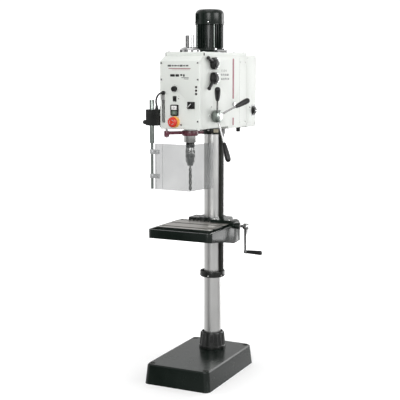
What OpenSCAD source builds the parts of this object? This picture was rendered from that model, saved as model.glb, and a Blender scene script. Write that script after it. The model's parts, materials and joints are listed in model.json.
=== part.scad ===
// Pillar drilling machine with a geared head, a rack-lifted table and a hinged chuck guard.
// Origin: on the floor, at the centre of the four anchor bolts. +X right, -Y front, +Z up.

/* [Base] */
// Width of the base at its top edge
base_w = 346; // [330:1:400]
// Length of the base at its top edge
base_l = 555; // [540:1:600]
// Height of the base
base_h = 102; // [90:1:120]
// Widening of each side from the top edge down to the floor
base_draft = 9; // [4:1:16]
// Distance between the anchor bolts across the machine
anchor_x = 300; // [280:1:304]
// Distance between the anchor bolts from front to back
anchor_y = 500; // [480:1:510]
// Diameter of the anchor bolt holes
anchor_d = 16; // [12:1:18]

/* [Column] */
// Diameter of the ground column
col_d = 90; // [86:1:90]
// Wall thickness of the column tube
col_wall = 9; // [5:1:14]
// Distance of the column axis behind the middle of the base
col_y = 148; // [146:1:150]
// Height of the column's top end, inside the head
col_top = 1525; // [1480:1:1530]
// Height of the column foot above the base
foot_h = 87; // [70:1:100]

/* [Head] */
// Width of the head
head_w = 214; // [212:1:220]
// Height of the head's underside above the floor
head_z = 1294; // [1293:1:1295]
// Height of the head's front panel
head_h = 332; // [331:1:333]
// Distance from the column axis to the front panel's face
reach = 381; // [380:1:382]

/* [Spindle] */
// Distance from the column axis to the spindle axis
throat = 264; // [264:1:264]
// Diameter of the quill
quill_d = 66; // [64:1:66]
// Height of the quill's lower end when it is up
quill_z = 1223; // [1221:1:1225]
// Diameter of the chuck's sleeve
chuck_d = 47; // [46:1:50]
// Diameter of the drill bit
bit_d = 17; // [14:1:18]
// Height of the drill bit's point when the quill is up
bit_z = 977; // [960:1:1000]

/* [Table] */
// Width of the table
table_w = 350; // [346:1:356]
// Distance from the column axis to the table's front edge
table_front = 400; // [392:1:408]
// Height of the work surface above the floor
table_z = 797; // [796:1:798]
// Width of the T-slots' opening
slot_w = 14; // [10:1:16]

/* [Motor] */
// Diameter over the motor's fan cowl
motor_d = 146; // [142:1:150]
// Height of the motor above the head's lid
motor_h = 219; // [214:1:226]

/* [Hidden] */
$fn = 64;

// Colours
cast_green = [0.13, 0.17, 0.155];
off_white = [0.86, 0.86, 0.83];
steel = [0.72, 0.73, 0.74];
black = [0.05, 0.05, 0.05];
maroon = [0.38, 0.12, 0.17];

// Clearances
run = 0.05;      // radial gap of a running fit
slack = 0.3;     // gap between moving faces that don't guide
cut = 1;         // how far a cutter reaches past the face it opens

// Base
base_bevel = 6;
base_plate = 16;
base_wall = 14;
base_corner = 26;
rib = 10;
anchor_boss_r = 20;

// Column and rack
col_r = col_d / 2;
foot_r = 71;
foot_neck_r = 59;
foot_cup = 24;                        // depth of the open rim round the column
foot_bolt_r = 6;
foot_bolt_circle = 58;
foot_ribs = 18;
tooth_m = 2;                          // module of the rack teeth
tooth_pitch = PI * tooth_m;
rack_out = 61;                        // distance from the column axis to the rack's tooth tips
rack_half = 13.5;
rack_back = col_r + 0.4;
ring_r = 66;
ring_h = 30;
ring_floor = 13;
low_ring_z = 491;
high_ring_z = head_z - 14 - ring_h;
rack_bottom = low_ring_z + ring_floor + slack;
rack_top = high_ring_z + ring_h - ring_floor - slack;

// Table
rim_z = table_z - 7;
table_corner = 26;
table_back = -38;                     // rear edge of the table, from the column axis
table_deep_z = table_z - 99;          // lowest edge, beside the column
work_x = 148;
work_front = -345;
work_back = -104;
channel = 13;
t_slot_y = [-300, -190];
drain_pitch = 25;
hub_z = table_z - 102;
hub_top = table_z + 16;
hub_r = 72;
lift_teeth = 16;
lift_x = rack_out - 0.85 * tooth_m + lift_teeth * tooth_m / 2;
lift_z = table_z - 44;
worm_gap = 33;                        // centre distance between worm and worm wheel
crank_y = -88;
crank_z = lift_z + worm_gap;
crank_len = 131;
crank_arm_x = 222;
grip_l = 82;
clamp_x = -92;
clamp_z = table_z - 40;

// Head
head_x = head_w / 2;
skin = 11;                            // wall of the head casting
rear_z = head_z - 14;
head_back = 194;
bevel_z = head_z + head_h;
bevel_run = 57;
bevel_edge = 4.5;                     // height of the sloping cover's rear edge
lid_z = head_z + 358;
lid_h = 18;
lid_top = lid_z + lid_h;
cover_t = 4;
lip = 3;
lip_deep = 22;
box_back = 327;
box_z = [1275, 1657];
web_z = head_z + 262;                 // gear plate inside the head
web_t = 10;

// Front panel controls
panel_y = -reach;
ctl_x = -26;
knob_z = head_z + 197;
rocker_z = head_z + 149;
button_z = head_z + 93;
estop_z = head_z + 36;
estop_r = 25;
selector_at = [63, head_z + 118];
gland_at = [-87, head_z + 177];

// Quill feed
quill_r = quill_d / 2;
quill_top = head_z + 194;
quill_y = -throat;
feed_teeth = 15;
feed_pinion_w = 17;
quill_rack_w = 18;
quill_rack_tip = quill_r - 1.5;
feed_y = quill_y + quill_rack_tip - 0.85 * tooth_m + feed_teeth * tooth_m / 2;
feed_z = head_z + 59;
feed_r = 9;
hub_x = [head_x + 2, head_x + 40];
arm_mid_x = 127;
arm_lean = 20;
arm_angles = [20, 140, 260];
arm_r = 5;
arm_len = 239;
grip_len = 100;

// Depth stop
stop_at = [-88, -350];
stop_z = head_z - 33;
stop_t = 21;
rod_r = 6;
slot_half = 5.5;

// Spindle and chuck
spindle_r = 15;
spline_r = 9.6;
spline_core_r = 8;
spline_w = 3.2;
spindle_top = lid_top + 68;
bearing_r = 26;
bearing_h = 18;
shank_r = 5;
chuck_z = quill_z - 116;
jaw_lean = 8;
jaw_r = 3.8;
jaw_len = 42;

// Gear train
gear_m = 2.5;
gear_step = 75;                       // distance between neighbouring gearbox shafts
shaft_2_y = quill_y + gear_step;
shaft_3_y = quill_y + 2 * gear_step;
motor_y = quill_y + 3 * gear_step;
level_a = web_z + 44;
level_b = web_z + 20;
level_c = web_z + 68;
gear_t = 16;
gear_shaft_r = 8;

// Gear levers
lever_y = -234;
lever_z = [head_z + 320, head_z + 247];
lever_angle = [160, 218];
lever_len = 80;

// Motor
motor_z = lid_top;
flange = 140;
flange_t = 14;
motor_bolt = 57;
body_r = motor_d / 2 - 11;
body_top = motor_z + 152;
rotor_r = 10;
core_z = [motor_z + 42, motor_z + 130];
cowl_z = motor_z + 142;
cowl_top = motor_z + motor_h;
cowl_round = 26;
cowl_wall = 2.5;

// Spindle cap
cap_r = 22;
cap_wall = 3;
cap_foot_r = 51;
cap_foot_h = 24;
cap_h = 81;

// Guard
rod_at = [-152, -384];
guard_r = 11.7;
guard_pin_r = 7;
guard_t = 4.5;
guard_low = head_z - 302;
guard_high = head_z - 73;
guard_path = [[-137, -385], [-91, -385], [61, -396], [100, -209]];
block_z = [head_z + 16, head_z + 95];
cable_r = 4.6;
cable_path = [
    [-130, -374, 1389.5], [-130, -374, 1402], [-129, -379, 1415], [-126, -388, 1427], [-121, -395, 1439],
    [-114, -401, 1450], [-106, -405, 1459], [-98, -407, 1466], [-91, -405, 1470], [-87, -400, 1471],
    [-87, -394, 1471]];

// ---- Helpers ----

module at_column() { translate([0, col_y, 0]) children(); }

module block(x, y, z) { translate([x[0], y[0], z[0]]) cube([x[1] - x[0], y[1] - y[0], z[1] - z[0]]); }

module rod_x(r, x, y, z) { translate([x[0], y, z]) rotate([0, 90, 0]) cylinder(r = r, h = x[1] - x[0]); }

module rod_y(r, x, y, z) { translate([x, y[1], z]) rotate([90, 0, 0]) cylinder(r = r, h = y[1] - y[0]); }

module rod_z(r, x, y, z) { translate([x, y, z[0]]) cylinder(r = r, h = z[1] - z[0]); }

// A side outline of [y, z] points, extruded across the machine
module across(points, x) {
    translate([x[0], 0, 0]) rotate([90, 0, 90]) linear_extrude(x[1] - x[0]) polygon(points);
}

module rounded_rect(w, l, r) {
    square([w - 2 * r, l], center = true);
    square([w, l - 2 * r], center = true);
    for (sx = [-1, 1], sy = [-1, 1])
        translate([sx * (w / 2 - r), sy * (l / 2 - r)]) circle(r);
}

module rounded_block(w, l, h, r) { linear_extrude(h) rounded_rect(w, l, r); }

// Stands on the front panel's face at [x, z] and points to the front
module on_panel(x, z) { translate([x, panel_y, z]) rotate([90, 0, 0]) children(); }

function on_circle(r, a) = [r * cos(a), r * sin(a)];

// Tooth corners: half-widths and radii of root and tip
function gear_points(teeth, m) = let (p = PI * m, r = teeth * m / 2, root = r - 1.25 * m, tip = r + 0.8 * m)
    [for (i = [0 : teeth - 1], c = [[root, -0.3 * p], [tip, -0.1 * p], [tip, 0.1 * p], [root, 0.3 * p]])
        on_circle(c[0], 360 * i / teeth + asin(c[1] / c[0]))];

module gear(teeth, m, h) { linear_extrude(h) polygon(gear_points(teeth, m)); }

// Straight rack from `low` to `high` with a gap centred on `gap`: [depth, height] points, tips at depth 0
function rack_points(low, high, gap, back) = let (p = tooth_pitch, first = ceil((low + p / 2 - gap) / p),
        last = floor((high - p / 2 - gap) / p) - 1)
    concat([[-back, low], [-2.05 * tooth_m, low]],
        [for (i = [first : last], c = [[-2.05 * tooth_m, -0.355], [0, -0.11], [0, 0.11], [-2.05 * tooth_m, 0.355]])
            [c[0], gap + (i + 0.5 + c[1]) * p]],
        [[-2.05 * tooth_m, high], [-back, high]]);

function side_normal(p, q) = [p[1] - q[1], q[0] - p[0]] / norm(q - p);

// Points beside a bent line at distance `d`, mitred at the bends
function beside(line, d) = let (n = len(line) - 1) [for (i = [0 : n])
    let (a = side_normal(line[max(i - 1, 0)], line[max(i, 1)]),
        b = side_normal(line[min(i, n - 1)], line[min(i + 1, n)]))
        line[i] + (a + b) * d / (1 + a * b)];

function reversed(list) = [for (i = [len(list) - 1 : -1 : 0]) list[i]];

module hex_bolt(r, length, head) {
    cylinder(r = r, h = length);
    translate([0, 0, -head]) cylinder(r = 1.75 * r, h = head, $fn = 6);
}

// Tapered lever of length `l` up to the middle of the ball on its end
module ball_lever(l, r1, r2, ball) {
    start = asin(r2 / ball) - 90;
    rotate_extrude() polygon(concat([[0, 0], [r1, 0]],
        [for (i = [0 : 12]) let (a = start + (90 - start) * i / 12) [ball * cos(a), l + ball * sin(a)]]));
}

module pan_screw(r) {
    difference() {
        cylinder(r = r, h = 2.4);
        translate([0, 0, 1]) cylinder(r = r / 2, h = 2, $fn = 6);
    }
}

// ---- Base and column ----

module base_outline(w, l, h, grow) {
    linear_extrude(h, scale = [w / (w + 2 * grow), l / (l + 2 * grow)], slices = 1, $fn = 40)
        rounded_rect(w + 2 * grow, l + 2 * grow, base_corner);
}

module anchors() {
    for (sx = [-1, 1], sy = [-1, 1]) translate([sx * anchor_x / 2, sy * anchor_y / 2]) children();
}

module foot_bolt_places() {
    for (a = [45 : 90 : 315]) translate([0, col_y]) rotate(a) translate([foot_bolt_circle, 0]) children();
}

module base_casting() {
    cell_x = base_w / 2 - base_wall - rib / 2;
    cell_y = (base_l - 2 * base_wall - 2 * rib) / 3;
    color(cast_green) difference() {
        union() {
            base_outline(base_w, base_l, base_h - base_bevel, base_draft);
            translate([0, 0, base_h - base_bevel])
                base_outline(base_w - 2 * base_bevel, base_l - 2 * base_bevel, base_bevel, base_bevel);
        }
        difference() {
            for (sx = [-1, 1], row = [-1, 0, 1])
                translate([sx * (cell_x + rib) / 2 - cell_x / 2, row * (cell_y + rib) - cell_y / 2, -cut])
                    cube([cell_x, cell_y, base_h - base_plate + cut]);
            anchors() cylinder(r = anchor_boss_r, h = base_h);
        }
        anchors() translate([0, 0, -cut]) cylinder(r = anchor_d / 2, h = base_h + 2 * cut);
        foot_bolt_places() cylinder(r = foot_bolt_r, h = base_h + cut);
    }
}

module column_foot() {
    lean = atan2(foot_r - foot_neck_r - 4, foot_h);
    color(black) difference() {
        union() {
            translate([0, col_y, base_h]) rotate_extrude() polygon([
                [col_r, 0], [foot_r, 0], [foot_r, 12], [foot_r - 5, 18],
                [foot_neck_r, foot_h - 6], [foot_neck_r - 3, foot_h], [foot_neck_r - 5, foot_h],
                [foot_neck_r - 8, foot_h - foot_cup], [col_r, foot_h - foot_cup]]);
            for (i = [0 : foot_ribs - 1])
                translate([0, col_y, base_h + 8]) rotate(360 * i / foot_ribs)
                    translate([foot_r - 6, 0, 0]) rotate([0, -lean, 0]) cylinder(r = 5, h = foot_h - 14);
        }
        foot_bolt_places() translate([0, 0, base_h - cut]) cylinder(r = foot_bolt_r, h = 17);
        translate([0, col_y, base_h - cut]) cylinder(r = col_r, h = foot_h + 2 * cut);
    }
}

module frame_bolts() {
    color(steel) {
        foot_bolt_places() translate([0, 0, base_h - base_plate]) hex_bolt(foot_bolt_r, base_plate + 15, 8);
        for (sx = [-1, 1], sy = [-1, 1])
            translate([sx * motor_bolt, col_y + motor_y + sy * motor_bolt, motor_z + flange_t])
                rotate([180, 0, 0]) hex_bolt(5, flange_t + 12, 7);
        at_column() translate([head_x, 30, head_z + 111]) rotate([0, -90, 0]) hex_bolt(7, 30, 6);
    }
}

module column() {
    color(steel) translate([0, col_y, 0]) difference() {
        rod_z(col_r, 0, 0, [base_h, col_top]);
        rod_z(col_r - col_wall, 0, 0, [base_h - cut, col_top + cut]);
    }
}

// Ring whose lip holds the rack's end against the column
module rack_ring() {
    rotate_extrude() polygon([
        [col_r, 0], [ring_r - 2, 0], [ring_r, 2], [ring_r, ring_h],
        [rack_out + 2, ring_h], [rack_out + 2, ring_floor], [col_r, ring_floor]]);
}

module rack_rings() {
    color(black) at_column() {
        translate([0, 0, low_ring_z]) rack_ring();
        translate([0, 0, high_ring_z + ring_h]) mirror([0, 0, 1]) rack_ring();
    }
}

module rack() {
    color(black) at_column() translate([rack_out, rack_half, 0]) rotate([90, 0, 0])
        linear_extrude(2 * rack_half) polygon(rack_points(rack_bottom, rack_top, lift_z, rack_out - rack_back));
}

// ---- Table ----

module table_outer() {
    half = table_w / 2;
    intersection() {
        across([
            [-table_front, rim_z - 44], [-table_front + 8, rim_z - 46], [-205, table_z - 76],
            [-118, table_deep_z], [-60, table_deep_z + 2], [table_back, table_deep_z + 18],
            [table_back, rim_z], [-table_front, rim_z]], [-half, half]);
        translate([0, (table_back - table_front) / 2, 0]) rounded_block(table_w, table_front + table_back, rim_z, table_corner);
    }
    block([-work_x, work_x], [work_front, work_back], [rim_z - 20, table_z]);
    block([-work_x, work_x], [-97, -66], [rim_z - 20, table_z]);
}

// Housing of the lifting gears, with a rounded top edge at the crank
module gear_housing() {
    r = 22;
    half = table_w / 2;
    block([40, half], [-112, table_back], [table_deep_z + 4, hub_top - r]);
    block([40, half - r], [-112, table_back], [table_deep_z + 4, hub_top]);
    rod_y(r, half - r, [-112, table_back], hub_top - r);
    block([40, 104], [-60, 30], [hub_z, hub_top]);
    rod_x(16, [half, half + 22], crank_y, crank_z);
}

module table_hollows() {
    for (x = [[-162, -6], [6, 162]], y = [[-388, -264], [-252, -124]]) block(x, y, [hub_z - cut, rim_z - 26]);
    block([-162, -6], [-112, -84], [hub_z - cut, rim_z - 26]);
}

module table_top_cuts() {
    inner = table_w / 2 - channel;
    // Coolant channel round the work surface
    difference() {
        block([-inner, inner], [-table_front + channel, -66], [rim_z - 12, rim_z + cut]);
        block([-work_x, work_x], [work_front, -66 + cut], [rim_z - 13, table_z]);
    }
    for (y = t_slot_y) {
        block([-work_x - cut, work_x + cut], [y - slot_w / 2, y + slot_w / 2], [table_z - 22, table_z + cut]);
        block([-work_x - cut, work_x + cut], [y - 12, y + 12], [table_z - 22, table_z - 12]);
    }
    // Row of drain slots in front of the column
    for (x = [-137.5 : drain_pitch : 138]) block([x - 8, x + 8], [-92, -80], [rim_z - 18, table_z + cut]);
}

module table_casting() {
    color(cast_green) at_column() difference() {
        union() {
            difference() {
                table_outer();
                table_hollows();
                table_top_cuts();
            }
            rod_z(hub_r, 0, 0, [hub_z, hub_top]);
            block([-112, -40], [-60, 28], [hub_z, hub_top - 4]);
            gear_housing();
        }
        rod_z(col_r + run, 0, 0, [hub_z - cut, hub_top + cut]);
        // Passage of the rack
        block([col_r - 5, rack_out + 1], [-rack_half - 0.7, rack_half + 0.7], [hub_z - cut, hub_top + cut]);
        // Room for the pinion, the worm wheel and the worm
        rod_y(lift_teeth * tooth_m / 2 + 4, lift_x, [-rack_half, rack_half], lift_z);
        rod_y(28, lift_x, [-101, -75], lift_z);
        rod_y(gear_shaft_r + run, lift_x, [-106, 24], lift_z);
        rod_x(12.5, [48, 104], crank_y, crank_z);
        rod_x(gear_shaft_r + run, [40, 200], crank_y, crank_z);
        // Clamp slit and clamp screw bore
        block([-120, -30], [-3, 3], [hub_z - cut, hub_top + cut]);
        rod_y(6 + run, clamp_x, [-30, 29], clamp_z);
    }
}

module table_clamp_lever() {
    color(black) at_column() {
        rod_y(6, clamp_x, [-26, 30], clamp_z);
        rod_y(13, clamp_x, [28 + slack, 52], clamp_z);
        translate([clamp_x, 42, clamp_z]) rotate([0, -115, 0]) ball_lever(86, 7, 5, 11);
    }
}

module crank_worm() {
    color(steel) at_column() {
        rod_x(gear_shaft_r, [42, crank_arm_x + 18], crank_y, crank_z);
        for (i = [0 : 5]) rod_x(9.5, [54 + 7 * i, 57.5 + 7 * i], crank_y, crank_z);
        rod_x(8.4, [50, 102], crank_y, crank_z);
        rod_x(14, [table_w / 2 + 22 + slack, table_w / 2 + 28], crank_y, crank_z);
    }
}

module worm_wheel() {
    color(steel) at_column() {
        rod_y(gear_shaft_r, lift_x, [-104, 22], lift_z);
        translate([lift_x, 11, lift_z]) rotate([90, 0, 0]) gear(lift_teeth, tooth_m, 22);
        translate([lift_x, -78, lift_z]) rotate([90, 0, 0]) gear(20, 2.05, 20);
    }
}

module crank_arm() {
    low_z = crank_z - crank_len;
    color(steel) at_column() difference() {
        union() {
            translate([crank_arm_x - 4, crank_y, crank_z]) rotate([0, 90, 0]) rotate_extrude()
                polygon([[0, 0], [15, 0], [16, 2], [16, 20], [14, 25], [9, 29], [0, 30]]);
            rod_x(10, [crank_arm_x + 1, crank_arm_x + 15], crank_y, low_z);
            hull() {
                rod_x(11, [crank_arm_x + 2, crank_arm_x + 14], crank_y, crank_z, $fn = 32);
                rod_x(8, [crank_arm_x + 2, crank_arm_x + 14], crank_y, low_z, $fn = 32);
            }
            rod_x(4, [crank_arm_x, crank_arm_x + grip_l + 18], crank_y, low_z);
            rod_x(6.5, [crank_arm_x + grip_l + 15 + slack, crank_arm_x + grip_l + 18], crank_y, low_z);
        }
        rod_x(gear_shaft_r, [crank_arm_x - 6, crank_arm_x + 18], crank_y, crank_z);
    }
}

module crank_grip() {
    color(black) at_column() translate([crank_arm_x + 15 + slack, crank_y, crank_z - crank_len]) rotate([0, 90, 0])
        rotate_extrude() polygon([
            [4 + run, 0], [8, 0], [9, 3], [10, 35], [11.5, 68], [11, 76], [8.5, grip_l - slack],
            [4 + run, grip_l - slack]]);
}

// ---- Head ----

module head_outer() {
    across([
        [-reach + cover_t, head_z], [-46, head_z], [-34, rear_z], [head_back, rear_z],
        [head_back, lid_z], [-reach + bevel_run, lid_z], [-reach + bevel_run, lid_z - bevel_edge],
        [-reach + cover_t, bevel_z]], [-head_x, head_x]);
}

module head_bosses() {
    floor_z = head_z + 6;
    rod_z(47, 0, quill_y, [floor_z, head_z + 110]);
    block([-98, 98], [quill_y - 8, quill_y + 8], [floor_z, head_z + 100]);
    rod_z(62, 0, 0, [rear_z, col_top]);
    block([-98, 98], [-8, 8], [floor_z, col_top]);
    block([-98, 98], [-352, 70], [web_z, web_z + web_t]);
    for (s = [-1, 1]) rod_x(20, s > 0 ? [84, 98] : [-98, -84], feed_y, feed_z);
    rod_x(14, [head_x - 30, head_x - 5], lever_y, lever_z[1]);
    rod_x(14, [head_x - 30, head_x - 5], lever_y, lever_z[0]);
}

module head_casting() {
    inner = head_x - skin;
    color(off_white) at_column() difference() {
        union() {
            difference() {
                head_outer();
                block([-inner, inner], [-reach + 18, head_back - 10], [head_z + 12, lid_z + cut]);
                block([-84, 84], [-reach, -reach + 20], [head_z + 18, bevel_z - 14]);
            }
            head_bosses();
        }
        // Recess for the lips of the front cover
        for (s = [-1, 1])
            block(s > 0 ? [head_x - lip, head_x + cut] : [-head_x - cut, -head_x + lip],
                [-reach, -reach + cover_t + lip_deep], [head_z - cut, lid_z]);
        rod_z(quill_r + run, 0, quill_y, [head_z - cut, head_z + 111]);
        rod_z(col_r, 0, 0, [rear_z - cut, col_top + cut]);
        // Feed shaft and pinion
        rod_x(feed_r + run, [-head_x - cut, head_x + cut], feed_y, feed_z);
        block([-12, 12], [feed_y - 18, feed_y + 18], [feed_z - 18.5, feed_z + 18.5]);
        // Gearbox shafts
        rod_z(18 + run, 0, quill_y, [web_z - cut, web_z + web_t + cut]);
        for (y = [shaft_2_y, shaft_3_y]) rod_z(gear_shaft_r + run, 0, y, [web_z - cut, web_z + web_t + cut]);
        for (z = lever_z) rod_x(gear_shaft_r + run, [head_x - 31, head_x + cut], lever_y, z);
        // Depth rod and its pointer
        rod_z(rod_r + 0.1, stop_at[0], stop_at[1], [head_z - cut, head_z + 20]);
        block([stop_at[0] - 9, stop_at[0] + 9], [-reach, -reach + 20], [head_z + 18, head_z + 180]);
        // Head clamp screw
        rod_x(7, [head_x - 31, head_x + cut], 30, head_z + 111);
        // Mains lead
        rod_z(8, 80, 150, [rear_z - cut, head_z + 13]);
    }
}

module front_cover() {
    top_y = -reach + bevel_run;
    color(off_white) at_column() difference() {
        union() {
            across([
                [-reach, head_z + 3], [-reach + cover_t, head_z + 3], [-reach + cover_t, bevel_z],
                [top_y, lid_z - bevel_edge], [top_y, lid_z], [-reach, bevel_z]], [-head_x, head_x]);
            for (s = [-1, 1])
                block(s > 0 ? [head_x - lip, head_x] : [-head_x, -head_x + lip],
                    [-reach + 1, -reach + cover_t + lip_deep], [head_z + 3, bevel_z - 3]);
        }
        block([stop_at[0] - slot_half, stop_at[0] + slot_half], [-reach - cut, -reach + cover_t + cut],
            [head_z + 34, head_z + 166]);
        on_panel(ctl_x, knob_z) translate([0, 0, -6]) cylinder(r = 4 + run, h = 10);
        on_panel(ctl_x, estop_z) translate([0, 0, -6]) cylinder(r = 11, h = 10);
        on_panel(selector_at[0], selector_at[1]) translate([0, 0, -6]) cylinder(r = 8, h = 10);
        on_panel(ctl_x, button_z) translate([-15, -24, -6]) cube([30, 48, 10]);
        on_panel(ctl_x, rocker_z) translate([-7, -10, -6]) cube([14, 20, 10]);
        on_panel(gland_at[0], gland_at[1]) translate([0, 0, -6]) cylinder(r = 5, h = 10);
    }
}

module top_cover() {
    length = head_back + reach - bevel_run;
    color(off_white) at_column() difference() {
        union() {
            translate([0, head_back - length / 2, lid_z]) rounded_block(head_w, length, lid_h, 6);
            rod_z(30, 0, quill_y, [lid_z - 4, lid_z + cut]);
            for (y = [shaft_2_y, shaft_3_y]) rod_z(16, 0, y, [lid_z - 3, lid_z + cut]);
        }
        rod_z(18 + run, 0, quill_y, [lid_z - 5, lid_z + 6]);
        rod_z(spline_r + 1, 0, quill_y, [lid_z - 5, lid_top + cut]);
        for (y = [shaft_2_y, shaft_3_y]) rod_z(gear_shaft_r + run, 0, y, [lid_z - 5, lid_z + 10]);
        rod_z(rotor_r + 3, 0, motor_y, [lid_z - cut, lid_top + cut]);
        for (sx = [-1, 1], sy = [-1, 1])
            rod_z(5, sx * motor_bolt, motor_y + sy * motor_bolt, [lid_z + 6, lid_top + cut]);
    }
}

module cover_screws() {
    front = [[-99, 322], [99, 322], [-99, 242], [99, 242], [99, 40], [8, 22]];
    color(steel) at_column() {
        for (p = front) on_panel(p[0], head_z + p[1]) pan_screw(4.5);
        for (x = [-95, 95], y = [-310, -130, 60, 182]) translate([x, y, lid_top]) pan_screw(5.5);
    }
}

module electrical_box() {
    x = head_x - 3;
    color(off_white) at_column() difference() {
        block([-x, head_x], [head_back, box_back], box_z);
        block([-x + 3, head_x - 3], [head_back - cut, box_back - 3], [box_z[0] + 3, box_z[1] - 3]);
        rod_x(6 + run, [head_x - 4, head_x + cut], 293, head_z + 68);
    }
}

module main_switch() {
    color(black) at_column() translate([head_x, 293, head_z + 68]) rotate([0, 90, 0]) {
        translate([0, 0, slack]) cylinder(r = 25, h = 6);
        translate([0, 0, -12]) cylinder(r = 6, h = 14);
        translate([0, 0, 5]) cylinder(r = 17, h = 9);
        translate([-5, -22, 8]) cube([10, 44, 14]);
    }
}

// Rotary gear lever: `i` picks the upper or the lower one
module gear_lever(i) {
    color(black) at_column() translate([head_x, lever_y, lever_z[i]]) {
        rod_x(30, [3, 24], 0, 0);
        rod_x(22, [22, 31], 0, 0);
        rod_x(gear_shaft_r, [-40, 4], 0, 0);
        rotate([lever_angle[i], 0, 0]) {
            translate([13, 10, 0]) rotate([-90, 0, 0]) ball_lever(lever_len - 12, 9, 8, 9.5);
            block([-42, -36], [-12, 12], [-6, 6]);
        }
    }
}

module upper_gear_lever() { gear_lever(0); }

module lower_gear_lever() { gear_lever(1); }

// ---- Front panel controls ----

module speed_knob() {
    color(black) at_column() on_panel(ctl_x, knob_z) difference() {
        union() {
            translate([0, 0, -8]) cylinder(r = 4, h = 12);
            translate([0, 0, slack]) cylinder(r = 14, h = 3);
            translate([0, 0, slack]) cylinder(r = 12.5, h = 16);
        }
        translate([-0.8, 4, 15]) cube([1.6, 9, 2]);
    }
}

module control_bezels() {
    color(black) at_column() {
        on_panel(ctl_x, button_z) difference() {
            rounded_block(42, 54, 7, 4);
            for (y = [1.5, -22.5]) translate([-14, y, -cut]) cube([28, 21, 10]);
        }
        on_panel(ctl_x, rocker_z) difference() {
            rounded_block(19, 26, 3, 2);
            translate([-7, -10, -cut]) cube([14, 20, 5]);
        }
        on_panel(selector_at[0], selector_at[1]) difference() {
            union() {
                rounded_block(40, 34, 3, 2);
                cylinder(r = 15, h = 6);
            }
            translate([0, 0, -cut]) cylinder(r = 7 + run, h = 8);
        }
        on_panel(gland_at[0], gland_at[1]) difference() {
            union() {
                cylinder(r = 10, h = 5, $fn = 6);
                cylinder(r = 8, h = 13);
            }
            translate([0, 0, -cut]) cylinder(r = cable_r, h = 15);
        }
    }
}

module rocker_switch() {
    color(black) at_column() on_panel(ctl_x, rocker_z) rotate([-8, 0, 0]) {
        translate([-6.5, -9, -5]) cube([13, 18, 8]);
        translate([-6.5, 4, 2]) cube([13, 5, 3]);
        rod_x(1.5, [-6.9, 6.9], 0, 0);
    }
}

// Square push button; `y` is its lower edge above the middle of the button block
module push_button(y, proud) { translate([-13.5, y, -6]) cube([27, 20, 6 + proud]); }

module start_button() { color("green") at_column() on_panel(ctl_x, button_z) push_button(-22, 9); }

module stop_button() { color("white") at_column() on_panel(ctl_x, button_z) push_button(2, 11); }

module selector_knob() {
    color(black) at_column() on_panel(selector_at[0], selector_at[1]) {
        translate([0, 0, -6]) cylinder(r = 7, h = 14);
        translate([0, 0, 6 + slack]) cylinder(r = 13, h = 6);
        rotate(-45) translate([-4, -17, 10]) cube([8, 34, 11]);
    }
}

module estop_base() {
    color("gold") at_column() on_panel(ctl_x, estop_z) difference() {
        union() {
            cylinder(r = estop_r + 3, h = 5);
            cylinder(r = 18, h = 14);
        }
        translate([0, 0, -cut]) cylinder(r = 11 - slack, h = 17);
    }
}

module estop_button() {
    color("red") at_column() on_panel(ctl_x, estop_z) {
        translate([0, 0, -10]) cylinder(r = 9, h = 38);
        translate([0, 0, 22]) rotate_extrude()
            polygon(concat([[0, 0], [estop_r - 1.5, 0], [estop_r, 2], [estop_r, 6]],
                [for (a = [20 : 10 : 80]) [estop_r * cos(a), 6 + 9 * sin(a)]], [[0, 15]]));
    }
}

// ---- Quill feed ----

module feed_shaft() {
    color(steel) at_column() {
        rod_x(feed_r, [-head_x - 22, hub_x[1] - 6], feed_y, feed_z);
        // A tooth faces the quill and stands in a gap of its rack
        translate([-feed_pinion_w / 2, feed_y, feed_z]) rotate([0, 90, 0]) rotate(-90)
            gear(feed_teeth, tooth_m, feed_pinion_w);
    }
}

module arm_places() {
    for (a = arm_angles)
        translate([arm_mid_x, feed_y, feed_z]) rotate([a, 0, 0]) rotate([0, 0, -arm_lean]) rotate([-90, 0, 0])
            children();
}

module feed_hub() {
    color(steel) at_column() difference() {
        union() {
            rod_x(24, [hub_x[0], hub_x[0] + 8], feed_y, feed_z);
            rod_x(32, [hub_x[0] + 6, hub_x[1] - 6], feed_y, feed_z);
            translate([hub_x[1] - 6, feed_y, feed_z]) rotate([0, 90, 0]) cylinder(r1 = 32, r2 = 25, h = 6);
        }
        rod_x(feed_r, [hub_x[0] - cut, hub_x[1] - 6], feed_y, feed_z);
        arm_places() translate([0, 0, 16]) cylinder(r = arm_r, h = 30);
    }
}

module feed_arms() {
    color(steel) at_column() arm_places() translate([0, 0, 16]) cylinder(r = arm_r, h = arm_len - 30);
}

module feed_grips() {
    color(black) at_column() arm_places() translate([0, 0, arm_len - grip_len]) rotate_extrude()
        polygon(concat([[arm_r, 0], [8, 0], [9, 4], [11.5, 20], [13.5, 45], [14.5, 70]],
            [for (a = [0 : 15 : 90]) [14.2 * cos(a), 85 + 15 * sin(a)]], [[0, 86], [arm_r, 86]]));
}

module spring_housing() {
    color(black) at_column() difference() {
        rod_x(38, [-head_x - 26, -head_x], feed_y, feed_z);
        rod_x(34, [-head_x - 23, -head_x + cut], feed_y, feed_z);
    }
}

// Flat clock spring wound from the feed shaft to the rim of its housing
module return_spring() {
    turns = 5;
    steps = 18 * turns;
    r0 = feed_r + 1.5;
    r1 = 32.5;
    t = 0.6;
    spiral = [for (i = [0 : steps]) [r0 + (r1 - r0) * i / steps, 360 * turns * i / steps]];
    color(steel) at_column() translate([-head_x - 20, feed_y, feed_z]) rotate([0, 90, 0]) linear_extrude(16)
        polygon(concat([for (s = spiral) on_circle(s[0] - t, s[1])],
            [for (i = [steps : -1 : 0]) on_circle(spiral[i][0] + t, spiral[i][1])]));
}

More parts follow.
